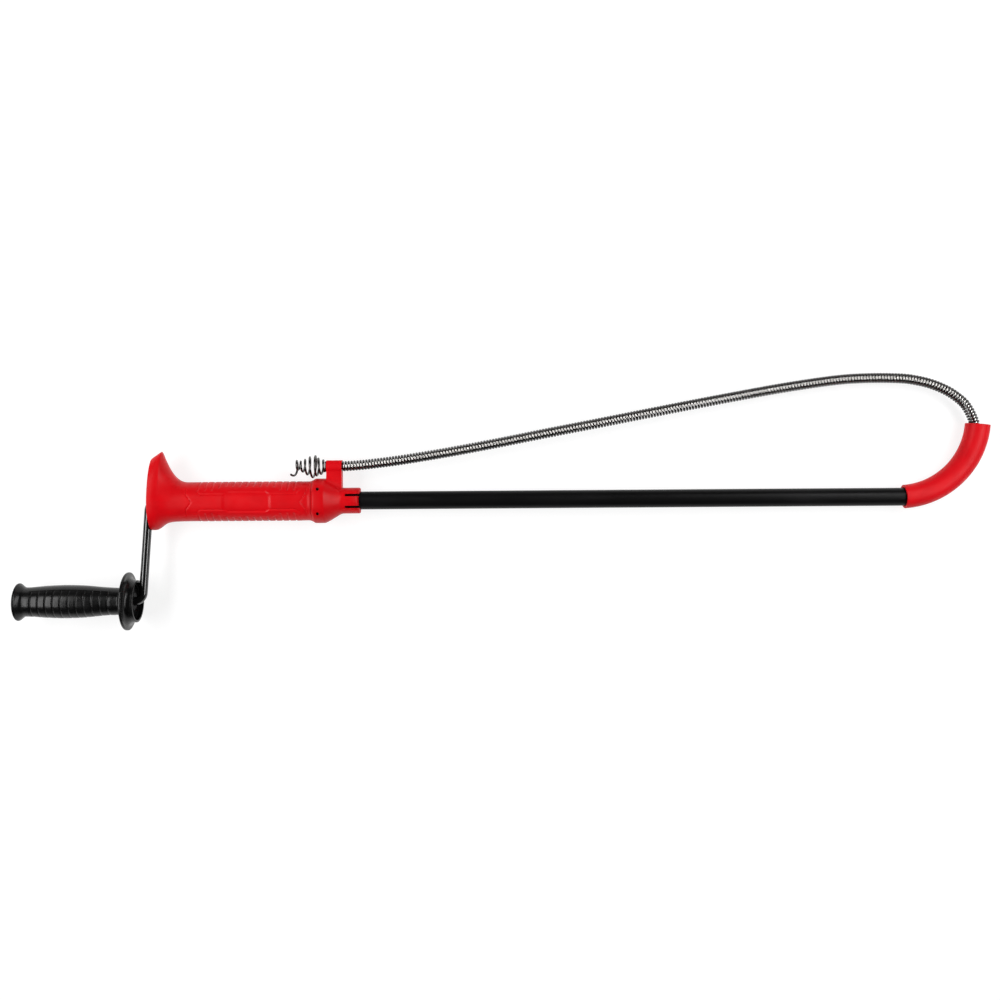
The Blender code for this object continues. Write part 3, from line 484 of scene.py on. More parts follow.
def add_piece(name, mesh, body, nodes, slot, finish=None):
    """A piece from a mesh, with the finish of its slot or one of its own."""
    mesh.materials.clear()
    mesh.materials.append(material(finish or slot))
    piece = bpy.data.objects.new(name, mesh)
    bpy.context.scene.collection.objects.link(piece)
    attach(piece, body)
    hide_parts(*nodes)
    return piece


def ease_edges(piece, width, crease=CREASE):
    """Round a piece's sharp edges."""
    bevel = piece.modifiers.new("eased_edges", "BEVEL")
    bevel.width = width
    bevel.segments = 2
    bevel.limit_method = "ANGLE"
    bevel.angle_limit = math.radians(crease)
    bevel.harden_normals = True


def wire_mesh(name, points, radius):
    """A round wire along the points, as a mesh."""
    curve = bpy.data.curves.new(name, "CURVE")
    curve.dimensions = "3D"
    curve.bevel_depth = radius
    curve.bevel_resolution = WIRE_ROUNDNESS
    curve.use_fill_caps = True
    spline = curve.splines.new("POLY")
    spline.points.add(len(points) - 1)
    for point, place in zip(spline.points, points):
        point.co = (*place, 1.0)
    holder = bpy.data.objects.new(name, curve)
    mesh = bpy.data.meshes.new_from_object(holder)
    bpy.data.objects.remove(holder)
    bpy.data.curves.remove(curve)
    mesh.shade_smooth()
    return mesh


# Grip

# Form of the flare: rounding of the hook's tip, powers of the hook's and the rim's fall, narrowing of the top
TIP_EASE = 0.0007
HOOK_FALL = 2.5
RIM_FALL = 4
HOOK_TAPER = 0.55


def hook_top(grip, x):
    """The top of the flare: up to the hook's rounded tip, then a smooth run down into the grip."""
    rise = grip.hook_rear + (grip.hook_height - grip.hook_rear) * x / grip.hook_tip
    run = max(0.0, x - grip.hook_tip) / grip.hook_swell
    fall = grip.radius + (grip.hook_height - grip.radius) * max(0.0, 1 - run) ** HOOK_FALL
    return fall - TIP_EASE * math.log1p(math.exp((fall - rise) / TIP_EASE))


def grip_section(grip, x, turn, inset):
    """A point of the grip's cross-section: round along the grip, drawn up into the hook over the flare."""
    share = 1 / (1 + (x / grip.rim_swell) ** RIM_FALL)
    to_collar = max(0.0, 1 - (grip.length - x) / grip.shoulder_run)
    inset = inset - grip.shoulder * to_collar**2
    top = hook_top(grip, x) - inset
    bottom = grip.radius + (grip.rim_bottom - grip.radius) * share - inset
    side = grip.radius + (grip.rim_side - grip.radius) * share - inset
    taper = 1 + HOOK_TAPER * (top - side) / grip.hook_height
    height = math.cos(turn)
    rise = top * height**taper if height > 0 else bottom * height
    return Vector((x, rise, side * math.sin(turn)))


# Relief of the grip: places along it, angles from the middle of a side, and widths of lines and edges
GRIP_BAND = math.radians(23.0)
GRIP_BAND_FLARED = math.radians(37.0)
GRIP_BAND_FLARE = 0.0050
PATCH_START = 0.0600
PATCH_END = 0.1904
RIB_FROM = math.radians(36.0)
RIB_FROM_AT_PANEL = math.radians(52.0)
RIB_EASE = 0.06
RIB_GAP_POWER = 14
PANEL_START = 0.0925
PANEL_END = 0.1551
PANEL_REACH = math.radians(31.0)
PANEL_CORNER = 0.0076
PANEL_CORNER_SLOPE = 0.66
PANEL_RAMP = 0.0042
CHEVRONS = ((0.0547, 1), (0.1908, -1))
CHEVRON_SLOPE = 0.68
CHEVRON_ARM = 0.0105
CHEVRON_REACH = math.radians(44.0)
CHEVRON_EASE = 0.05
LINE_WIDTH = 0.0012
LINE_DEPTH = 0.0008
EDGE = 0.0008


def fine_line(off):
    """How deep a fine groove is, from 1 on its middle to 0 at its edge."""
    return 1 - smooth_step(abs(off), 0.0, LINE_WIDTH)


def grip_relief(grip, x, turn):
    """How far the grip's skin stands from its plain round: ribbed patches, side panels and fine lines."""
    from_top = min(turn % math.pi, math.pi - turn % math.pi)
    from_side = math.pi / 2 - from_top
    arc = from_side * grip.radius
    end = min(x - PATCH_START, PATCH_END - x)

    flare = min(1.0, max(0.0, 1 - end / GRIP_BAND_FLARE))
    band = (GRIP_BAND + (GRIP_BAND_FLARED - GRIP_BAND) * flare) * grip.radius
    along = smooth_step(end, 0.0, EDGE)
    relief = grip.patch_rise * smooth_step(arc, band - EDGE / 2, band + EDGE / 2) * along
    relief -= LINE_DEPTH * fine_line(arc - band) * along

    in_panel = min(x - PANEL_START, PANEL_END - x)
    corner = max(0.0, PANEL_CORNER - in_panel) * PANEL_CORNER_SLOPE
    beside = PANEL_REACH * grip.radius - corner - arc
    ramp = smooth_step(min(in_panel, beside + PANEL_RAMP), 0.0, PANEL_RAMP)
    panel = smooth_step(beside, -EDGE, EDGE) * ramp
    relief -= (grip.panel_depth + relief) * panel

    at_panel = smooth_step(in_panel, -grip.rib_pitch, 0.0)
    rib_from = RIB_FROM + (RIB_FROM_AT_PANEL - RIB_FROM) * at_panel
    last = grip.rib_start + grip.rib_pitch * (grip.rib_gaps - 1)
    step = (x - grip.rib_start) / grip.rib_pitch
    if grip.rib_start - grip.rib_pitch / 2 < x < last + grip.rib_pitch / 2:
        notch = abs(math.cos(math.pi * step)) ** RIB_GAP_POWER
        relief -= grip.rib_depth * notch * smooth_step(from_side, rib_from - RIB_EASE, rib_from + RIB_EASE)

    for tip, way in CHEVRONS:
        line = fine_line((x - tip) * way + min(arc, CHEVRON_ARM) * CHEVRON_SLOPE)
        faded = smooth_step(from_side, CHEVRON_REACH - CHEVRON_EASE, CHEVRON_REACH)
        relief -= LINE_DEPTH * line * (1 - faded)
    return relief


# Points along the grip's skin: the gap at each end, and the steps over the bell and over the fine relief
SKIN_GAP = 0.0004
BELL_STEP = 0.0011
RELIEF_STEP = 0.0006
RELIEF_FROM = 0.040


def grip_stations(grip):
    """Places along the grip, close together where the relief is fine."""
    places = []
    x = SKIN_GAP
    while x < grip.length - SKIN_GAP:
        places.append(x)
        x += BELL_STEP if x < RELIEF_FROM else RELIEF_STEP
    return places + [grip.length]


GRIP_STEPS = 224
BELL_STEPS = 8
RIM_ROUND = 0.0012
# The grip's hidden fits: the spigot that the collar sits on, and the seat of the rod's bushing
SPIGOT_RADIUS = 0.0210
SPIGOT_LENGTH = 0.0166
SEAT_RADIUS = 0.0086
SEAT_LENGTH = 0.012


def build_grip(grip, guide):
    """The grip: turned with its hollow bell, then drawn up into the hook and given its relief."""
    skin = [(x, grip.radius) for x in grip_stations(grip)]
    tube_bore = guide.tube_diameter / 2 + CLEARANCE
    spigot_end = grip.length + SPIGOT_LENGTH
    floor = grip.bell_depth
    inner = [
        (grip.length, SPIGOT_RADIUS),
        (spigot_end, SPIGOT_RADIUS),
        (spigot_end, tube_bore),
        (floor + SEAT_LENGTH, tube_bore),
        (floor + SEAT_LENGTH, SEAT_RADIUS),
        (floor, SEAT_RADIUS),
        (floor, grip.bell_floor),
    ]
    lip = grip.radius - grip.bell_wall
    bell = []
    for i in range(1, BELL_STEPS):
        share = 1 - i / BELL_STEPS
        bell.append((RIM_ROUND + (floor - RIM_ROUND) * share, lip + (grip.bell_floor - lip) * share))
    rim = [
        (RIM_ROUND, lip),
        (0.0004, lip + 0.0003),
        (0.0, lip + 0.0009),
        (0.0, grip.radius - 0.0005),
        (0.0001, grip.radius - 0.0002),
    ]
    bm = turned(skin + inner + bell + rim, GRIP_STEPS)
    for vert in bm.verts:
        x = vert.co.x
        radius, turn = polar(vert.co)
        if radius > lip - TOLERANCE and x < grip.length + TOLERANCE:
            point = grip_section(grip, x, turn, grip.radius - radius)
            out = Vector((0.0, point.y, point.z)).normalized()
            vert.co = point + out * grip_relief(grip, x, turn)
        elif x < floor - TOLERANCE:
            share = (x - RIM_ROUND) / (floor - RIM_ROUND)
            edge = grip_section(grip, RIM_ROUND, turn, grip.bell_wall)
            base = at_polar(x, grip.bell_floor, turn)
            vert.co = Vector((x, *edge.yz.lerp(base.yz, share)))
    make_piece("grip_moulding", bm, TOOL_PLACE, "body", ["grip_housing"], "red_moulding", crease=50.0)


# Collar, clip and screws

COLLAR_STEPS = 60
COLLAR_CREASE = 40.0
# The cone's shoulder, as shares of the cone's length and of its drop
CONE_SHOULDER = (0.28, 0.24)
SCREW_ANGLES = [math.radians(a) for a in (57.0, 123.0, 237.0, 303.0)]
SCREW_HOLE_DEPTH = 0.0045


def collar_places(grip, collar):
    """Where the collar's parts start and end along the tool."""
    start = grip.length + CLEARANCE
    cone = grip.length + collar.chamfer + collar.straight
    return start, cone, cone + collar.cone, reach("front_collar", True)


def cut_slots(bm, collar, start):
    """Open straight cuts between the clamp fingers, above and below the tube, and close their walls."""
    half = collar.slot_width / 2
    for side in (1, -1):
        for middle in (collar.slot_off, -collar.slot_off):
            for wall_place in (middle - half, middle + half):
                ahead = [face for face in bm.faces if slot_side(face.calc_center_median(), start, side)]
                parts = {part for face in ahead for part in (*face.verts, *face.edges, face)}
                spot = (0.0, wall_place, 0.0)
                bmesh.ops.bisect_plane(bm, geom=list(parts), dist=1e-7, plane_co=spot, plane_no=Y_AXIS)
            gone = []
            for face in bm.faces:
                spot = face.calc_center_median()
                if slot_side(spot, start, side) and abs(spot.y - middle) < half:
                    gone.append(face)
            bmesh.ops.delete(bm, geom=gone, context="FACES")
            for wall_place in (middle - half, middle + half):
                rim = [edge for edge in bm.edges if edge.is_boundary and on_wall(edge, wall_place)]
                ends = [vert for edge in rim for vert in edge.verts if abs(vert.co.x - start) < TOLERANCE]
                bmesh.ops.contextual_create(bm, geom=rim + [bm.edges.new(ends)])
            bmesh.ops.contextual_create(bm, geom=[edge for edge in bm.edges if edge.is_boundary])


def slot_side(spot, start, side):
    """Whether a spot lies on the fingers, on the upper or the lower side of the tool."""
    return spot.x > start - TOLERANCE and spot.z * side > 0


def on_wall(edge, wall_place):
    return all(abs(vert.co.y - wall_place) < TOLERANCE for vert in edge.verts)


def screw_spots(collar, screw_x):
    """Where the screw holes open on the collar, and which way they face: up or down as the tool lies."""
    for turn in SCREW_ANGLES:
        spot = at_polar(screw_x, collar.radius, turn)
        yield spot, math.copysign(1.0, spot.z)


def bore_screw_holes(bm, collar, screw_x):
    """Round blind holes in the collar's straight part, bored straight down and straight up."""
    radius = collar.screw_diameter / 2
    for spot, way in screw_spots(collar, screw_x):
        corner = min(bm.verts, key=lambda vert: (vert.co - spot).length)
        patch = round_off(bm, [corner], "VERTICES", radius, segments=4)
        around = {edge for face in patch for edge in face.edges}
        rim = [edge for edge in around if not patch_inside(edge, patch)]
        for vert in {vert for edge in rim for vert in edge.verts}:
            off = (vert.co - spot).xy.normalized() * radius
            x, y = spot.x + off.x, spot.y + off.y
            vert.co = (x, y, way * math.sqrt(collar.radius**2 - y**2))
        bmesh.ops.delete(bm, geom=patch, context="FACES_KEEP_BOUNDARY")
        sides = bmesh.ops.extrude_edge_only(bm, edges=rim)["geom"]
        bmesh.ops.translate(bm, verts=only(sides, BMVert), vec=(0.0, 0.0, -SCREW_HOLE_DEPTH * way))
        bmesh.ops.contextual_create(bm, geom=only(sides, BMEdge))


def patch_inside(edge, patch):
    return all(face in patch for face in edge.link_faces)


def build_collar(grip, collar, guide):
    """The collar: turned, cut into clamp fingers at its front, and bored for its screws."""
    start, cone, fingers, end = collar_places(grip, collar)
    bore = guide.tube_diameter / 2 + CLEARANCE
    socket = SPIGOT_RADIUS + CLEARANCE
    socket_end = grip.length + SPIGOT_LENGTH + CLEARANCE
    slot_start = fingers + collar.slot_setback
    screw_x = grip.length + collar.screw_setback
    drop = collar.radius - collar.finger_radius
    outline = [
        (start, socket),
        (start, grip.radius + grip.shoulder),
        (grip.length + collar.chamfer, collar.radius),
        (screw_x, collar.radius),
        (cone, collar.radius),
        (cone + collar.cone * CONE_SHOULDER[0], collar.radius - drop * CONE_SHOULDER[1]),
        (fingers, collar.finger_radius),
        (slot_start, collar.finger_radius),
        (end - collar.finger_chamfer, collar.finger_radius),
        (end, collar.finger_radius - collar.finger_chamfer),
        (end, bore),
        (slot_start, bore),
        (socket_end, bore),
        (socket_end, socket),
    ]
    # Corners of the outline, by number, with the radius that each is rounded to
    eased = [(1, 0.0004), (2, 0.0012), (4, 0.0012), (5, 0.0030), (6, 0.0030)]
    bm = turned(outline, COLLAR_STEPS, eased, first_angle=math.pi / COLLAR_STEPS)
    cut_slots(bm, collar, slot_start)
    for vert in bm.verts:
        if vert.co.x > end - collar.finger_chamfer - TOLERANCE:
            vert.co.x -= collar.finger_bow * (vert.co.z / collar.finger_radius) ** 2
    bore_screw_holes(bm, collar, screw_x)
    piece = make_piece(
        "nose_collar", bm, TOOL_PLACE, "body", ["front_collar"], "red_moulding", crease=COLLAR_CREASE
    )
    ease_edges(piece, width=0.0003, crease=COLLAR_CREASE)


# The clip's root at its rear and front ends, from the post down: height above the axis and half width
CLIP_REAR_ROOT = [(0.0335, 0.0068), (0.0266, 0.0087), (0.0215, 0.0165)]
CLIP_FRONT_ROOT = [(0.0240, 0.0068), (0.0182, 0.0072), (0.0135, 0.0090)]
CLIP_ROOT_ROUND = 0.004
CLIP_STEPS = 48


def spun_arc(bm, centre, radius, first, last, steps):
    """An arc of edges round a centre, square to the tool's axis: its two end points."""
    start = bm.verts.new(centre + at_polar(0.0, radius, first))
    made = bmesh.ops.spin(bm, geom=[start], cent=centre, axis=X_AXIS, angle=last - first, steps=steps)
    return start, only(made["geom_last"], BMVert)[0]


def build_clip(grip, collar, cable):
    """The cable clip: a C round the cable, open outwards, on a post with a spread root."""
    inner = cable.diameter / 2 + CLEARANCE
    outer = inner + collar.clip_wall
    centre = Vector((grip.length + collar.clip_setback, HEAD.y - TOOL.y, 0.0))
    mouth = collar.clip_mouth
    foot = math.pi - math.asin(collar.clip_post / 2 / outer)
    low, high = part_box("guide_tube")
    base = ((high.z - low.z) / 2 + collar.finger_radius) / 2
    rear, front = ([*root, (base, root[-1][1])] for root in (CLIP_REAR_ROOT, CLIP_FRONT_ROOT))

    bm = bmesh.new()
    bore = spun_arc(bm, centre, inner, mouth, TURN - mouth, CLIP_STEPS)
    near = spun_arc(bm, centre, outer, mouth, foot, CLIP_STEPS // 2)
    far = spun_arc(bm, centre, outer, TURN - mouth, TURN - foot, CLIP_STEPS // 2)
    left = [bm.verts.new((centre.x, y, z)) for y, z in rear]
    right = [bm.verts.new((centre.x, y, -z)) for y, z in rear]
    for chain in ([near[0], bore[0]], [far[0], bore[1]], [near[1], *left, *reversed(right), far[1]]):
        for pair in zip(chain, chain[1:]):
            bm.edges.new(pair)
    bmesh.ops.contextual_create(bm, geom=bm.edges[:])
    made = bmesh.ops.extrude_face_region(bm, geom=bm.faces[:], use_keep_orig=True)
    moved = only(made["geom"], BMVert)
    for vert in moved:
        for (y, z), (front_y, front_z) in zip(rear, front):
            if abs(vert.co.y - y) + abs(abs(vert.co.z) - z) < TOLERANCE:
                vert.co = (vert.co.x, front_y, math.copysign(front_z, vert.co.z))
                break
    bmesh.ops.translate(bm, verts=moved, vec=(collar.clip_length, 0.0, 0.0))
    bends = []
    for vert in (left[1], right[1]):
        bends += [edge for edge in vert.link_edges if edge.other_vert(vert) in moved]
    round_off(bm, bends, "EDGES", CLIP_ROOT_ROUND, segments=6)
    piece = make_piece("cable_clip", bm, TOOL_PLACE, "body", [], "red_moulding", crease=COLLAR_CREASE)
    ease_edges(piece, width=0.0006, crease=COLLAR_CREASE)


SCREW_GAP = 0.0001
SCREW_LENGTH = 0.0018
# The screw's wall round its socket, as a share of its radius
SCREW_WALL = 0.42
SOCKET_DEPTH = 0.0009


def build_screws(grip, collar):
    """Headless screws with a round socket, sunk below the collar's face."""
    radius = collar.screw_diameter / 2 - SCREW_GAP
    for number, (spot, way) in enumerate(screw_spots(collar, grip.length + collar.screw_setback), 1):
        bm = bmesh.new()
        bmesh.ops.create_cone(
            bm, cap_ends=True, segments=24, radius1=radius, radius2=radius, depth=SCREW_LENGTH
        )
        top = max(bm.faces, key=lambda face: face.calc_center_median().z)
        bmesh.ops.inset_region(bm, faces=[top], thickness=radius * SCREW_WALL)
        socket = bmesh.ops.extrude_face_region(bm, geom=[top])["geom"]
        bmesh.ops.translate(bm, verts=only(socket, BMVert), vec=(0.0, 0.0, -SOCKET_DEPTH))
        bmesh.ops.delete(bm, geom=[top], context="FACES_ONLY")
        centre = spot - Vector((0.0, 0.0, way * (collar.screw_recess + SCREW_LENGTH / 2)))
        facing = Matrix.Rotation(0.0 if way > 0 else math.pi, 4, "X")
        place = TOOL_PLACE @ Matrix.Translation(centre) @ facing
        make_piece(f"screw_{number}", bm, place, "body", [f"collar_screw_{number}"], "black_screw")


# Guide tube and bowl guard

TUBE_SIDES = 64


def bend_centre(guide):
    return Vector((guide.bend_start, guide.bend_radius, 0.0))


def bend_point(guide, turn):
    """A point of the bend's centre line."""
    return bend_centre(guide) + guide.bend_radius * Vector((math.sin(turn), -math.cos(turn), 0.0))


def open_ring(bm, x, radius, steps):
    """A round ring of edges square to the tool's axis."""
    place = Matrix.Translation((x, 0.0, 0.0)) @ Matrix.Rotation(math.pi / 2, 4, "Y")
    verts = bmesh.ops.create_circle(bm, cap_ends=False, segments=steps, radius=radius, matrix=place)["verts"]
    return list({edge for vert in verts for edge in vert.link_edges})


def draw_out(bm, ring, run, steps=1):
    """Extrude a ring along a run in equal steps, and return its last edges."""
    for _ in range(steps):
        made = bmesh.ops.extrude_edge_only(bm, edges=ring)["geom"]
        bmesh.ops.translate(bm, verts=only(made, BMVert), vec=[part / steps for part in run])
        ring = only(made, BMEdge)
    return ring


def bend_round(bm, ring, centre, turn, steps):
    """Spin a ring round a centre in the tool's plane, and return its last edges."""
    made = bmesh.ops.spin(bm, geom=ring, cent=centre, axis=Z_AXIS, angle=turn, steps=steps)
    return only(made["geom_last"], BMEdge)


def wall(piece, thick):
    """Give an open skin its wall, inwards."""
    solid = piece.modifiers.new("wall", "SOLIDIFY")
    solid.thickness = thick
    solid.offset = -1.0


def build_tube(guide):
    """The guide tube: straight, then bent inside the guard."""
    bm = bmesh.new()
    start = reach("guide_tube", False)
    ring = open_ring(bm, start, guide.tube_diameter / 2, TUBE_SIDES)
    ring = draw_out(bm, ring, (guide.bend_start - start, 0.0, 0.0), steps=24)
    bend_round(bm, ring, bend_centre(guide), guide.tube_to, steps=40)
    piece = make_piece("tube", bm, TOOL_PLACE, "body", ["guide_tube"], "black_tube")
    wall(piece, guide.tube_wall)


def build_guard(guide):
    """Vinyl boot on the bend, swelling a little to its mouth."""
    bm = bmesh.new()
    ring = open_ring(bm, guide.bend_start, guide.guard_rear / 2, TUBE_SIDES)
    verts = list({vert for edge in ring for vert in edge.verts})
    turn = Matrix.Rotation(guide.guard_from, 3, "Z")
    bmesh.ops.rotate(bm, verts=verts, cent=bend_centre(guide), matrix=turn)
    bend_round(bm, ring, bend_centre(guide), guide.guard_to - guide.guard_from, steps=48)
    for vert in bm.verts:
        off = vert.co - bend_centre(guide)
        at = math.atan2(off.x, -off.y)
        share = (at - guide.guard_from) / (guide.guard_to - guide.guard_from)
        diameter = guide.guard_rear + (guide.guard_mouth - guide.guard_rear) * share
        middle = bend_point(guide, at)
        vert.co = middle + (vert.co - middle) * diameter / guide.guard_rear
    piece = make_piece("vinyl_guard", bm, TOOL_PLACE, "body", ["bowl_guard"], "red_vinyl")
    wall(piece, guide.guard_wall)
    ease_edges(piece, width=0.0004)


BUSHING_FLANGE = 0.0024
BUSHING_FLANGE_RADIUS = 0.0115
BUSHING_RADIUS = 0.0082


def build_rear_bushing(grip, crank):
    """The flanged bush that the rod runs in, set in the floor of the bell."""
    face = grip.bell_depth - CLEARANCE
    bore = crank.rod_diameter / 2 + ROD_CLEARANCE
    end = grip.bell_depth + SEAT_LENGTH
    outline = [
        (face - BUSHING_FLANGE, bore),
        (face - BUSHING_FLANGE, BUSHING_FLANGE_RADIUS),
        (face, BUSHING_FLANGE_RADIUS),
        (face, BUSHING_RADIUS),
        (end, BUSHING_RADIUS),
        (end, bore),
    ]
    bm = turned(outline, steps=48, eased=[(0, 0.0005), (1, 0.0006)])
    make_piece("rod_bushing", bm, TOOL_PLACE, "body", ["rear_bushing"], "white_nylon")


# Cable and bulb head

# Points of the wire in each turn, and of the cable's declared path
WIRE_POINTS = 18
PATH_POINTS = 400
# Share of the bright tone: on the cable's sides as painted shade, on the whole bulb as its own tone; how fast
# the cable's painted light falls off from its top
PAINTED_SIDE_LIGHT = 0.22
HEAD_SHINE = 0.274
PAINTED_LIGHT_FALLOFF = 6


def cable_route(guide):
    """The cable's centre line: coupling, round the bend, out of the guard, and back to the clip."""
    straight = [Vector((CABLE_START, 0.0, 0.0))]
    bend = [bend_point(guide, turn) for turn in CABLE_BEND_ANGLES]
    free = [Vector((x, y, 0.0)) for x, y in CABLE_FREE_POINTS]
    ending = [Vector((reach("drain_cable", False), HEAD.y - TOOL.y, 0.0))]
    return smooth_curve(straight + bend + free + ending, steps=12)


def build_cable(guide, cable):
    """One steel wire wound along the cable's route."""
    route = cable_route(guide)
    _, total = even_points(route, 2)
    turns = round(total / cable.pitch)
    line, _ = even_points(route, turns * WIRE_POINTS + 1)
    radius = (cable.diameter - cable.wire) / 2
    wire = []
    for i, point in enumerate(line):
        ahead = line[min(i + 1, len(line) - 1)] - line[max(i - 1, 0)]
        heading = ahead.normalized()
        side = Vector((-heading.y, heading.x, 0.0))
        turn = TURN * i / WIRE_POINTS
        out = math.cos(turn) * side + math.sin(turn) * Vector(Z_AXIS)
        wire.append(TOOL + point + radius * out)
    mesh = wire_mesh("wound_cable", wire, cable.wire / 2)
    paint_cable_light(mesh, [TOOL + point for point in line], cable.diameter / 2, cable.wire)
    piece = add_piece("wound_cable", mesh, "body", ["drain_cable"], "cable_steel")
    path = [TOOL + point for point in even_points(route, PATH_POINTS)[0]]
    return piece, path, total


def paint_cable_light(mesh, line, outer, wire):
    """Store painted light on the wire: 1 along the cable's top, less as painted shade down its sides and
    inside.
    """
    tree = kdtree.KDTree(len(line))
    for i, point in enumerate(line):
        tree.insert(point, i)
    tree.balance()
    painted_sheen_and_tone = mesh.attributes.new("painted_sheen_and_tone", "FLOAT", "POINT")
    for i, vert in enumerate(mesh.vertices):
        centre, _, distance = tree.find(vert.co)
        out = min(1.0, max(0.0, 1 - (outer - distance) / wire))
        upward = max(0.0, vert.co.z - centre.z) / distance
        painted_sheen_and_tone.data[i].value = out * (PAINTED_SIDE_LIGHT + (1 - PAINTED_SIDE_LIGHT) * upward**PAINTED_LIGHT_FALLOFF)


# The bulb's wire at each half turn, from the cable to the tail: place along the tool, distance from the axis
HEAD_HALF_TURNS = [
    (0.2205, 0.0052),
    (0.2191, 0.0063),
    (0.2172, 0.0078),
    (0.2146, 0.0095),
    (0.2112, 0.0101),
    (0.2090, 0.0115),
    (0.2073, 0.0133),
    (0.2038, 0.0137),
    (0.2003, 0.0119),
    (0.1970, 0.0101),
    (0.1942, 0.0087),
    (0.1911, 0.0064),
    (0.1886, 0.0065),
    (0.1849, 0.0041),
    (0.1835, 0.0072),
    (0.1796, 0.0114),
    (0.1570, 0.0100),
]
# How much of the last half turn the tail keeps
TAIL_SHARE = 0.17


def build_head(cable):
    """The bulb head: a wire whose turns swell and draw in again, with a hooked tail."""
    turns = smooth_curve([Vector((x, radius, 0.0)) for x, radius in HEAD_HALF_TURNS], WIRE_POINTS)
    last = len(turns) - 1 - round(WIRE_POINTS * (1 - TAIL_SHARE))
    centre = Vector((TOOL.x, HEAD.y, HEAD.z))
    wire = [centre + at_polar(turns[i].x, turns[i].y, -math.pi * i / WIRE_POINTS) for i in range(last + 1)]
    mesh = wire_mesh("bulb_spring", wire, cable.head_wire / 2)
    # The bulb's wire takes one even share of the bright tone as its own tone, with no painted light
    painted_sheen_and_tone = mesh.attributes.new("painted_sheen_and_tone", "FLOAT", "POINT")
    painted_sheen_and_tone.data.foreach_set("value", [HEAD_SHINE] * len(mesh.vertices))
    return add_piece("bulb_spring", mesh, "head", ["bulb_head"], "cable_steel")


# Crank rod and handle

# How far the axle's end lies inside the handle's end
AXLE_SETBACK = 0.0071


def build_rod(crank):
    """One bent bar: the rod in the tube, the raked arm and the handle's axle."""
    bm = bmesh.new()
    front = reach("crank_rod", True)
    radius = crank.rod_diameter / 2
    bend = crank.rod_bend
    slant = math.pi / 2 - crank.arm_rake
    tangent = bend * math.tan(slant / 2)
    first = crank.arm_at_axis + tangent
    ring = open_ring(bm, front, radius, steps=40)
    bmesh.ops.contextual_create(bm, geom=ring)
    ring = draw_out(bm, ring, (first - front, 0.0, 0.0), steps=24)
    ring = bend_round(bm, ring, (first, -bend, 0.0), slant, steps=16)
    arm = CRANK_THROW / math.cos(crank.arm_rake) - 2 * tangent
    down = Vector((-math.sin(crank.arm_rake), -math.cos(crank.arm_rake), 0.0))
    ring = draw_out(bm, ring, down * arm, steps=6)
    across = CRANK_THROW * math.tan(crank.arm_rake)
    corner = crank.arm_at_axis - across
    ring = bend_round(bm, ring, (corner - tangent, -CRANK_THROW + bend, 0.0), -slant, steps=16)
    axle_end = -crank.handle_far + AXLE_SETBACK
    ring = draw_out(bm, ring, (axle_end - corner + tangent, 0.0, 0.0))
    bmesh.ops.contextual_create(bm, geom=ring)
    make_piece("bent_rod", bm, CRANK_PLACE, "crank", ["crank_rod"], "dark_rod")


HANDLE_STEPS = 144
# Finger grooves: the angles round the handle that they run between, their fading, sharpness and points each
GROOVE_FROM = math.radians(42.0)
GROOVE_TO = math.radians(215.0)
GROOVE_EASE = 0.07
GROOVE_POWER = 28
GROOVE_POINTS = 32
# The hollow in the handle's far end
POCKET_RADIUS = 0.0128
POCKET_DEPTH = 0.0210
# How far past the hand guard the barrel starts
BARREL_FROM = 0.012


def handle_outline(crank):
    """The handle's outside as (distance out, radius): hub, hand guard, barrel and flared end."""
    near, far, flange = crank.handle_near, crank.handle_far, crank.flange_place
    hub = [
        (near, crank.hub_radius - 0.0006),
        (near + 0.0006, crank.hub_radius),
        (near + 0.0036, crank.hub_radius + 0.0002),
        (flange - 0.0046, crank.hub_radius + 0.0012),
        (flange - 0.0022, crank.hub_radius + 0.0030),
        (flange - 0.0010, crank.hub_radius + 0.0056),
    ]
    edge = [
        (flange - 0.0006, crank.flange_radius - 0.0010),
        (flange - 0.0002, crank.flange_radius),
        (flange + 0.0022, crank.flange_radius - 0.0001),
        (flange + 0.0032, crank.flange_radius - 0.0014),
    ]
    neck = flange + 0.0130
    run = far - neck
    back = [
        (flange + 0.0038, crank.flange_radius - 0.0060),
        (flange + 0.0056, 0.0212),
        (flange + 0.0088, 0.0177),
        (neck, 0.0171),
        (neck + run * 0.14, 0.0181),
        (neck + run * 0.33, 0.0203),
        (neck + run * 0.52, 0.0211),
        (neck + run * 0.70, 0.0203),
        (neck + run * 0.83, 0.0190),
        (neck + run * 0.90, 0.0184),
        (far - 0.0088, 0.0189),
        (far - 0.0052, 0.0212),
        (far - 0.0030, 0.0231),
    ]
    end = [(far - 0.0017, 0.0237), (far - 0.0006, 0.0235), (far, 0.0226)]
    points = [Vector((out, radius, 0.0)) for out, radius in hub + edge + back + end]
    return [(point.x, point.y) for point in smooth_curve(points, steps=8)]


def groove_relief(crank, out, turn):
    """Finger grooves round the barrel, below the plain band that runs along its top."""
    turn %= TURN
    ribbed = smooth_step(turn, GROOVE_FROM, GROOVE_FROM + GROOVE_EASE)
    ribbed -= smooth_step(turn, GROOVE_TO - GROOVE_EASE, GROOVE_TO)
    last = crank.groove_start + crank.groove_pitch * (crank.groove_count - 1)
    along = smooth_step(min(out - crank.groove_start, last - out), -crank.groove_pitch / 2, 0.0)
    step = (out - crank.groove_start) / crank.groove_pitch
    notch = abs(math.cos(math.pi * step)) ** GROOVE_POWER
    return -ribbed * along * (crank.band_rise + crank.groove_depth * notch)


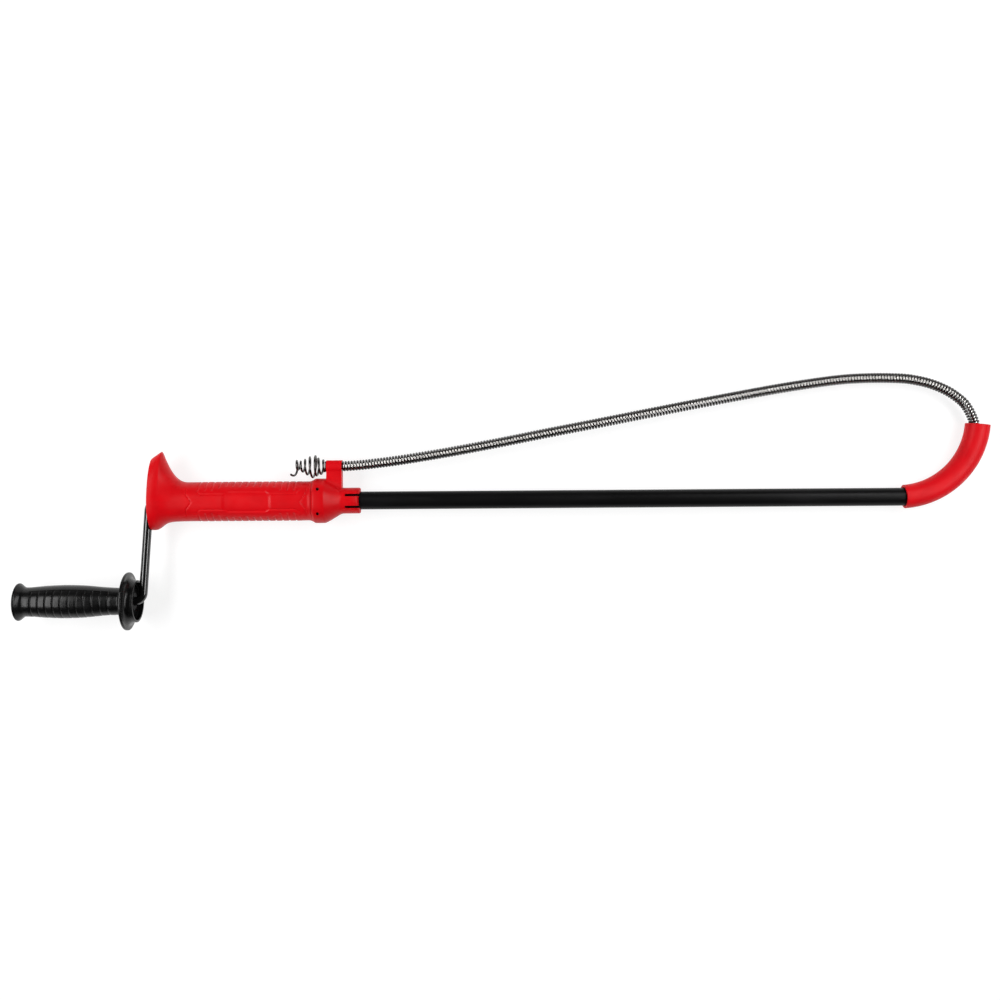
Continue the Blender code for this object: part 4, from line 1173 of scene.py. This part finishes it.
def build_handle(crank):
    """The handle: turned with its grooves, a cup in its hub and a pocket in its far end."""
    bore = crank.rod_diameter / 2 + ROD_CLEARANCE
    cup_floor = crank.handle_near + crank.cup_depth
    inside = [
        (crank.handle_far, POCKET_RADIUS),
        (crank.handle_far - POCKET_DEPTH, POCKET_RADIUS),
        (crank.handle_far - POCKET_DEPTH, bore),
        (cup_floor, bore),
        (cup_floor, crank.cup_radius - 0.0010),
        (cup_floor - 0.0010, crank.cup_radius),
        (crank.handle_near + 0.0004, crank.cup_radius),
        (crank.handle_near, crank.cup_radius + 0.0004),
    ]
    barrel = fine_barrel(handle_outline(crank), crank)
    bm = turned([(-out, radius) for out, radius in barrel + inside], HANDLE_STEPS)
    for vert in bm.verts:
        radius, turn = polar(vert.co)
        if radius > POCKET_RADIUS + CLEARANCE and -vert.co.x > crank.flange_place + BARREL_FROM:
            vert.co = at_polar(vert.co.x, radius + groove_relief(crank, -vert.co.x, turn), turn)
    piece = make_piece(
        "grooved_handle", bm, HANDLE_PLACE, "handle", ["handle_grip"], "black_handle", crease=38.0
    )
    # The cup's inside takes a finish of almost no gloss: painted shade in the hollow
    piece.data.materials.append(material("hub_hollow_painted_shade"))
    for face in piece.data.polygons:
        spot = HANDLE_PLACE.inverted() @ face.center
        if polar(spot)[0] < crank.cup_radius and -spot.x < cup_floor + CLEARANCE:
            face.material_index = 1


def fine_barrel(outside, crank):
    """The outside with close points along the grooves."""
    first = crank.groove_start - crank.groove_pitch / 2
    last = crank.groove_start + crank.groove_pitch * (crank.groove_count - 0.5)
    before = [point for point in outside if point[0] < first]
    after = [point for point in outside if point[0] > last]
    count = crank.groove_count * GROOVE_POINTS
    fine = []
    for i in range(count + 1):
        out = first + (last - first) * i / count
        for near, far in zip(outside, outside[1:]):
            if near[0] <= out <= far[0]:
                share = (out - near[0]) / (far[0] - near[0])
                fine.append((out, near[1] + (far[1] - near[1]) * share))
                break
    return before + fine + after


# The end plug: its size, how far it lies inside the handle's end, and the dish in its face
PLUG_RADIUS = 0.0123
PLUG_LENGTH = 0.0060
PLUG_RECESS = 0.0005
DISH_DEPTH = 0.0008
DISH_FLOOR_RADIUS = 0.0080
DISH_RIM_RADIUS = 0.0092
WASHER_RADIUS = 0.0110
WASHER_THICKNESS = 0.0014


def build_handle_fittings(crank):
    """End plug with a shallow dish, and the thrust washer in the hub's cup."""
    outer = -crank.handle_far + PLUG_RECESS
    dish = outer + DISH_DEPTH
    end = outer + PLUG_LENGTH
    plug = [
        (dish, 0.0),
        (dish, DISH_FLOOR_RADIUS),
        (outer, DISH_RIM_RADIUS),
        (outer, PLUG_RADIUS),
        (end, PLUG_RADIUS),
        (end, 0.0),
    ]
    bm = turned(plug, steps=64, eased=[(2, 0.0005), (3, 0.0005)])
    make_piece("end_plug", bm, HANDLE_PLACE, "handle", ["handle_plug"], "black_handle")
    inner = -crank.handle_near - crank.cup_depth + CLEARANCE
    face = inner + WASHER_THICKNESS
    bore = crank.rod_diameter / 2 + CLEARANCE
    washer = [(inner, bore), (inner, WASHER_RADIUS), (face, WASHER_RADIUS), (face, bore)]
    bm = turned(washer, steps=48, eased=[(2, 0.0004), (3, 0.0003)])
    # The washer in the cup takes a finish of almost no gloss: painted shade
    make_piece(
        "thrust_washer", bm, HANDLE_PLACE, "crank", ["hub_washer"], "black_screw", finish="washer_painted_shade"
    )


# Operators


class AUGER_OT_materials(bpy.types.Operator):
    """Make the tool's finishes"""

    bl_idname = "auger.materials"
    bl_label = "Finishes"

    def execute(self, context):
        colours = context.scene.auger_colours
        moulded_plastic("red_moulding", colours.moulding, roughness=0.37, specular=0.15, grain=1500.0)
        moulded_plastic("red_vinyl", colours.vinyl, roughness=0.44, specular=0.15, grain=700.0)
        moulded_plastic("black_handle", colours.handle, roughness=0.26, specular=0.25, grain=1800.0)
        # Gloss taken off the inside of the hub's cup: painted shade
        moulded_plastic("hub_hollow_painted_shade", colours.handle, roughness=0.26, specular=0.01, grain=1800.0)
        moulded_plastic("white_nylon", colours.nylon, roughness=0.45, specular=0.5, grain=900.0)
        painted_tube(colours.tube)
        drawn_steel("dark_rod", colours.rod, roughness=0.14, along=1, metallic=0.0, specular=0.8)
        drawn_steel("plain_steel", colours.fittings, roughness=0.32, along=0, metallic=1.0)
        drawn_steel("black_screw", colours.screw, roughness=0.45, along=0, metallic=0.2)
        # Almost no gloss on the washer in the hub's cup: painted shade
        drawn_steel("washer_painted_shade", colours.screw, roughness=0.45, along=0, metallic=0.2, specular=0.02)
        wound_wire(colours.wire, colours.dark_tone_and_painted_shade)
        return {"FINISHED"}


# The spot of the tool frame in the middle of the picture
CAMERA_AIM = Vector((0.4416, -0.0006))


class AUGER_OT_camera(bpy.types.Operator):
    """Set the camera straight above the tool"""

    bl_idname = "auger.camera"
    bl_label = "Camera"

    def execute(self, context):
        studio = context.scene.auger_studio
        camera = bpy.data.cameras.new("camera")
        camera.lens = studio.focal_length
        camera.sensor_width = 36.0
        holder = bpy.data.objects.new("camera", camera)
        slope = (CAMERA_AIM.y - studio.off_axis) / studio.height
        camera.shift_y = slope * studio.focal_length / camera.sensor_width
        holder.location = TOOL + Vector((CAMERA_AIM.x, studio.off_axis, studio.height))
        holder.rotation_euler = (0.0, 0.0, studio.roll)
        context.scene.collection.objects.link(holder)
        context.scene.camera = holder
        return {"FINISHED"}


class AUGER_OT_cable(bpy.types.Operator):
    """Wind the drain cable and its bulb head"""

    bl_idname = "auger.cable"
    bl_label = "Cable and bulb head"

    def execute(self, context):
        scene = context.scene
        head = build_head(scene.auger_cable)
        cable, path, total = build_cable(scene.auger_guide, scene.auger_cable)
        return {"FINISHED"}


class AUGER_OT_grip(bpy.types.Operator):
    """Mould the grip with its bell, hook and ribs"""

    bl_idname = "auger.grip"
    bl_label = "Grip"

    def execute(self, context):
        scene = context.scene
        build_grip(scene.auger_grip, scene.auger_guide)
        build_rear_bushing(scene.auger_grip, scene.auger_crank)
        return {"FINISHED"}


class AUGER_OT_collar(bpy.types.Operator):
    """Mould the collar with its fingers, clip and screws"""

    bl_idname = "auger.collar"
    bl_label = "Collar"

    def execute(self, context):
        scene = context.scene
        build_collar(scene.auger_grip, scene.auger_collar, scene.auger_guide)
        build_clip(scene.auger_grip, scene.auger_collar, scene.auger_cable)
        build_screws(scene.auger_grip, scene.auger_collar)
        return {"FINISHED"}


class AUGER_OT_guide(bpy.types.Operator):
    """Bend the guide tube and fit the bowl guard"""

    bl_idname = "auger.guide"
    bl_label = "Guide tube and guard"

    def execute(self, context):
        build_tube(context.scene.auger_guide)
        build_guard(context.scene.auger_guide)
        return {"FINISHED"}


class AUGER_OT_crank(bpy.types.Operator):
    """Bend the crank rod and fit its handle"""

    bl_idname = "auger.crank"
    bl_label = "Crank"

    def execute(self, context):
        crank = context.scene.auger_crank
        build_rod(crank)
        build_handle(crank)
        build_handle_fittings(crank)
        return {"FINISHED"}


INNER_FINISHES = {
    "slide_bushing": "white_nylon",
    "cable_coupling": "plain_steel",
    "coupling_pin": "plain_steel",
    "bushing_ring": "plain_steel",
    "axle_washer": "plain_steel",
    "axle_nut": "plain_steel",
}


class AUGER_OT_inner_parts(bpy.types.Operator):
    """Finish the CAD parts that stay inside the tool"""

    bl_idname = "auger.inner_parts"
    bl_label = "Inner parts"

    def execute(self, context):
        for node, name in INNER_FINISHES.items():
            part = frame["nodes"][node]
            part.data.materials.clear()
            part.data.materials.append(material(name))
        return {"FINISHED"}


def add_softbox(name, place, target, size, power):
    """A rectangular lamp at a place, turned to its target."""
    lamp = bpy.data.lights.new(name, "AREA")
    lamp.shape = "RECTANGLE"
    lamp.size, lamp.size_y = size
    lamp.energy = power
    holder = bpy.data.objects.new(name, lamp)
    holder.location = place
    holder.rotation_euler = (Vector(target) - Vector(place)).to_track_quat("-Z", "Y").to_euler()
    bpy.context.scene.collection.objects.link(holder)


# How white the floor's own glow is, and how much of it the camera sees: the rest keeps the shadow
FLOOR_GLOW = 1.12
FLOOR_GLOW_SHARE = 0.72
# Height in a direction from the horizon, from 0 to 1, where the walls have faded into the ceiling
CEILING_FROM = 0.3


def floor_material(tint):
    """Pale floor that the camera and reflections see as white, with a faint shadow kept."""
    surface = bpy.data.materials.new("floor")
    surface.use_nodes = True
    tree = surface.node_tree
    tree.nodes.remove(tree.nodes["Principled BSDF"])
    path = tree.nodes.new("ShaderNodeLightPath").outputs
    seen = path["Is Camera Ray"]
    for ray in ("Is Glossy Ray", "Is Transmission Ray"):
        seen = add_node(tree, "ShaderNodeMath", {0: seen, 1: path[ray]}, operation="MAXIMUM").outputs[0]
    share = add_node(tree, "ShaderNodeMath", {0: seen, 1: FLOOR_GLOW_SHARE}, operation="MULTIPLY").outputs[0]
    matt = add_node(tree, "ShaderNodeBsdfDiffuse", {"Color": (*tint, 1.0)}).outputs[0]
    glow = add_node(tree, "ShaderNodeEmission", {"Strength": FLOOR_GLOW}).outputs[0]
    mix = add_node(tree, "ShaderNodeMixShader", {"Fac": share, 1: matt, 2: glow}).outputs[0]
    feed(tree, tree.nodes["Material Output"], {"Surface": mix})
    return surface


def studio_world(horizon, overhead):
    """Soft light all round: white walls near the horizon, and a dark ceiling."""
    world = bpy.data.worlds.new("studio")
    world.use_nodes = True
    tree = world.node_tree
    place = tree.nodes.new("ShaderNodeTexCoord").outputs["Generated"]
    height = add_node(tree, "ShaderNodeSeparateXYZ", {"Vector": place}).outputs["Z"]
    ends = {"From Min": 0.0, "From Max": CEILING_FROM, "To Min": horizon, "To Max": overhead}
    fade = add_node(tree, "ShaderNodeMapRange", {"Value": height, **ends}, interpolation_type="SMOOTHSTEP")
    sky = {"Color": (1.0, 1.0, 1.0, 1.0), "Strength": fade.outputs["Result"]}
    feed(tree, tree.nodes["Background"], sky)
    return world


FLOOR_HALF_WIDTH = 6.0
FLOOR_GAP = 0.0005
# How far behind its foremost point the bowl guard touches the floor
GUARD_TOUCH = 0.02


class AUGER_OT_stage(bpy.types.Operator):
    """Lay the floor and hang the lamps"""

    bl_idname = "auger.stage"
    bl_label = "Stage"

    def execute(self, context):
        scene = context.scene
        studio = scene.auger_studio
        bm = bmesh.new()
        bmesh.ops.create_grid(bm, x_segments=2, y_segments=2, size=FLOOR_HALF_WIDTH)
        rear = TOOL.x
        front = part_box("bowl_guard")[1].x
        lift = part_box("bowl_guard")[0].z
        slope = Matrix.Rotation(-math.atan2(lift, front - rear - GUARD_TOUCH), 4, "Y")
        bmesh.ops.transform(bm, matrix=Matrix.Translation((rear, 0.0, -FLOOR_GAP)) @ slope, verts=bm.verts)
        mesh = bpy.data.meshes.new("floor")
        bm.to_mesh(mesh)
        bm.free()
        mesh.materials.append(floor_material(studio.floor))
        floor = bpy.data.objects.new("floor", mesh)
        scene.collection.objects.link(floor)
        for name, place, target, size, power in (
            ("right_softbox", (1.4, 0.45, 1.5), (0.1, 0.0, 0.0), (2.4, 0.7), studio.right_power),
            ("left_softbox", (-1.5, 0.1, 1.5), (-0.2, 0.0, 0.0), (2.2, 0.7), studio.left_power),
        ):
            add_softbox(name, place, target, size, power)
        scene.world = studio_world(studio.horizon, studio.overhead)
        scene.view_settings.view_transform = "Standard"
        return {"FINISHED"}


class AUGER_PT_panel(bpy.types.Panel):
    """Buttons for the tool's steps, and its settings"""

    bl_label = "Closet Auger"
    bl_idname = "AUGER_PT_panel"
    bl_space_type = "VIEW_3D"
    bl_region_type = "UI"
    bl_category = "Auger"

    def draw(self, context):
        for operator in OPERATORS:
            self.layout.operator(operator.bl_idname)
        for name in GROUPS:
            box = self.layout.box()
            settings = getattr(context.scene, name)
            for prop in settings.bl_rna.properties:
                if prop.identifier not in ("rna_type", "name"):
                    box.prop(settings, prop.identifier)


GROUPS = {
    "auger_colours": AugerColours,
    "auger_grip": AugerGrip,
    "auger_collar": AugerCollar,
    "auger_guide": AugerGuide,
    "auger_cable": AugerCable,
    "auger_crank": AugerCrank,
    "auger_studio": AugerStudio,
}
OPERATORS = (
    AUGER_OT_camera,
    AUGER_OT_materials,
    AUGER_OT_cable,
    AUGER_OT_grip,
    AUGER_OT_collar,
    AUGER_OT_guide,
    AUGER_OT_crank,
    AUGER_OT_inner_parts,
    AUGER_OT_stage,
)


def register():
    for cls in (*GROUPS.values(), *OPERATORS, AUGER_PT_panel):
        bpy.utils.register_class(cls)
    for name, cls in GROUPS.items():
        setattr(bpy.types.Scene, name, PointerProperty(type=cls))


def unregister():
    for name in GROUPS:
        delattr(bpy.types.Scene, name)
    for cls in (AUGER_PT_panel, *reversed(OPERATORS), *reversed(GROUPS.values())):
        bpy.utils.unregister_class(cls)


def main():
    register()
    bpy.ops.auger.camera()
    bpy.ops.auger.materials()
    bpy.ops.auger.cable()
    bpy.ops.auger.grip()
    bpy.ops.auger.collar()
    bpy.ops.auger.guide()
    bpy.ops.auger.crank()
    bpy.ops.auger.inner_parts()
    bpy.ops.auger.stage()


if __name__ == "__main__":
    main()
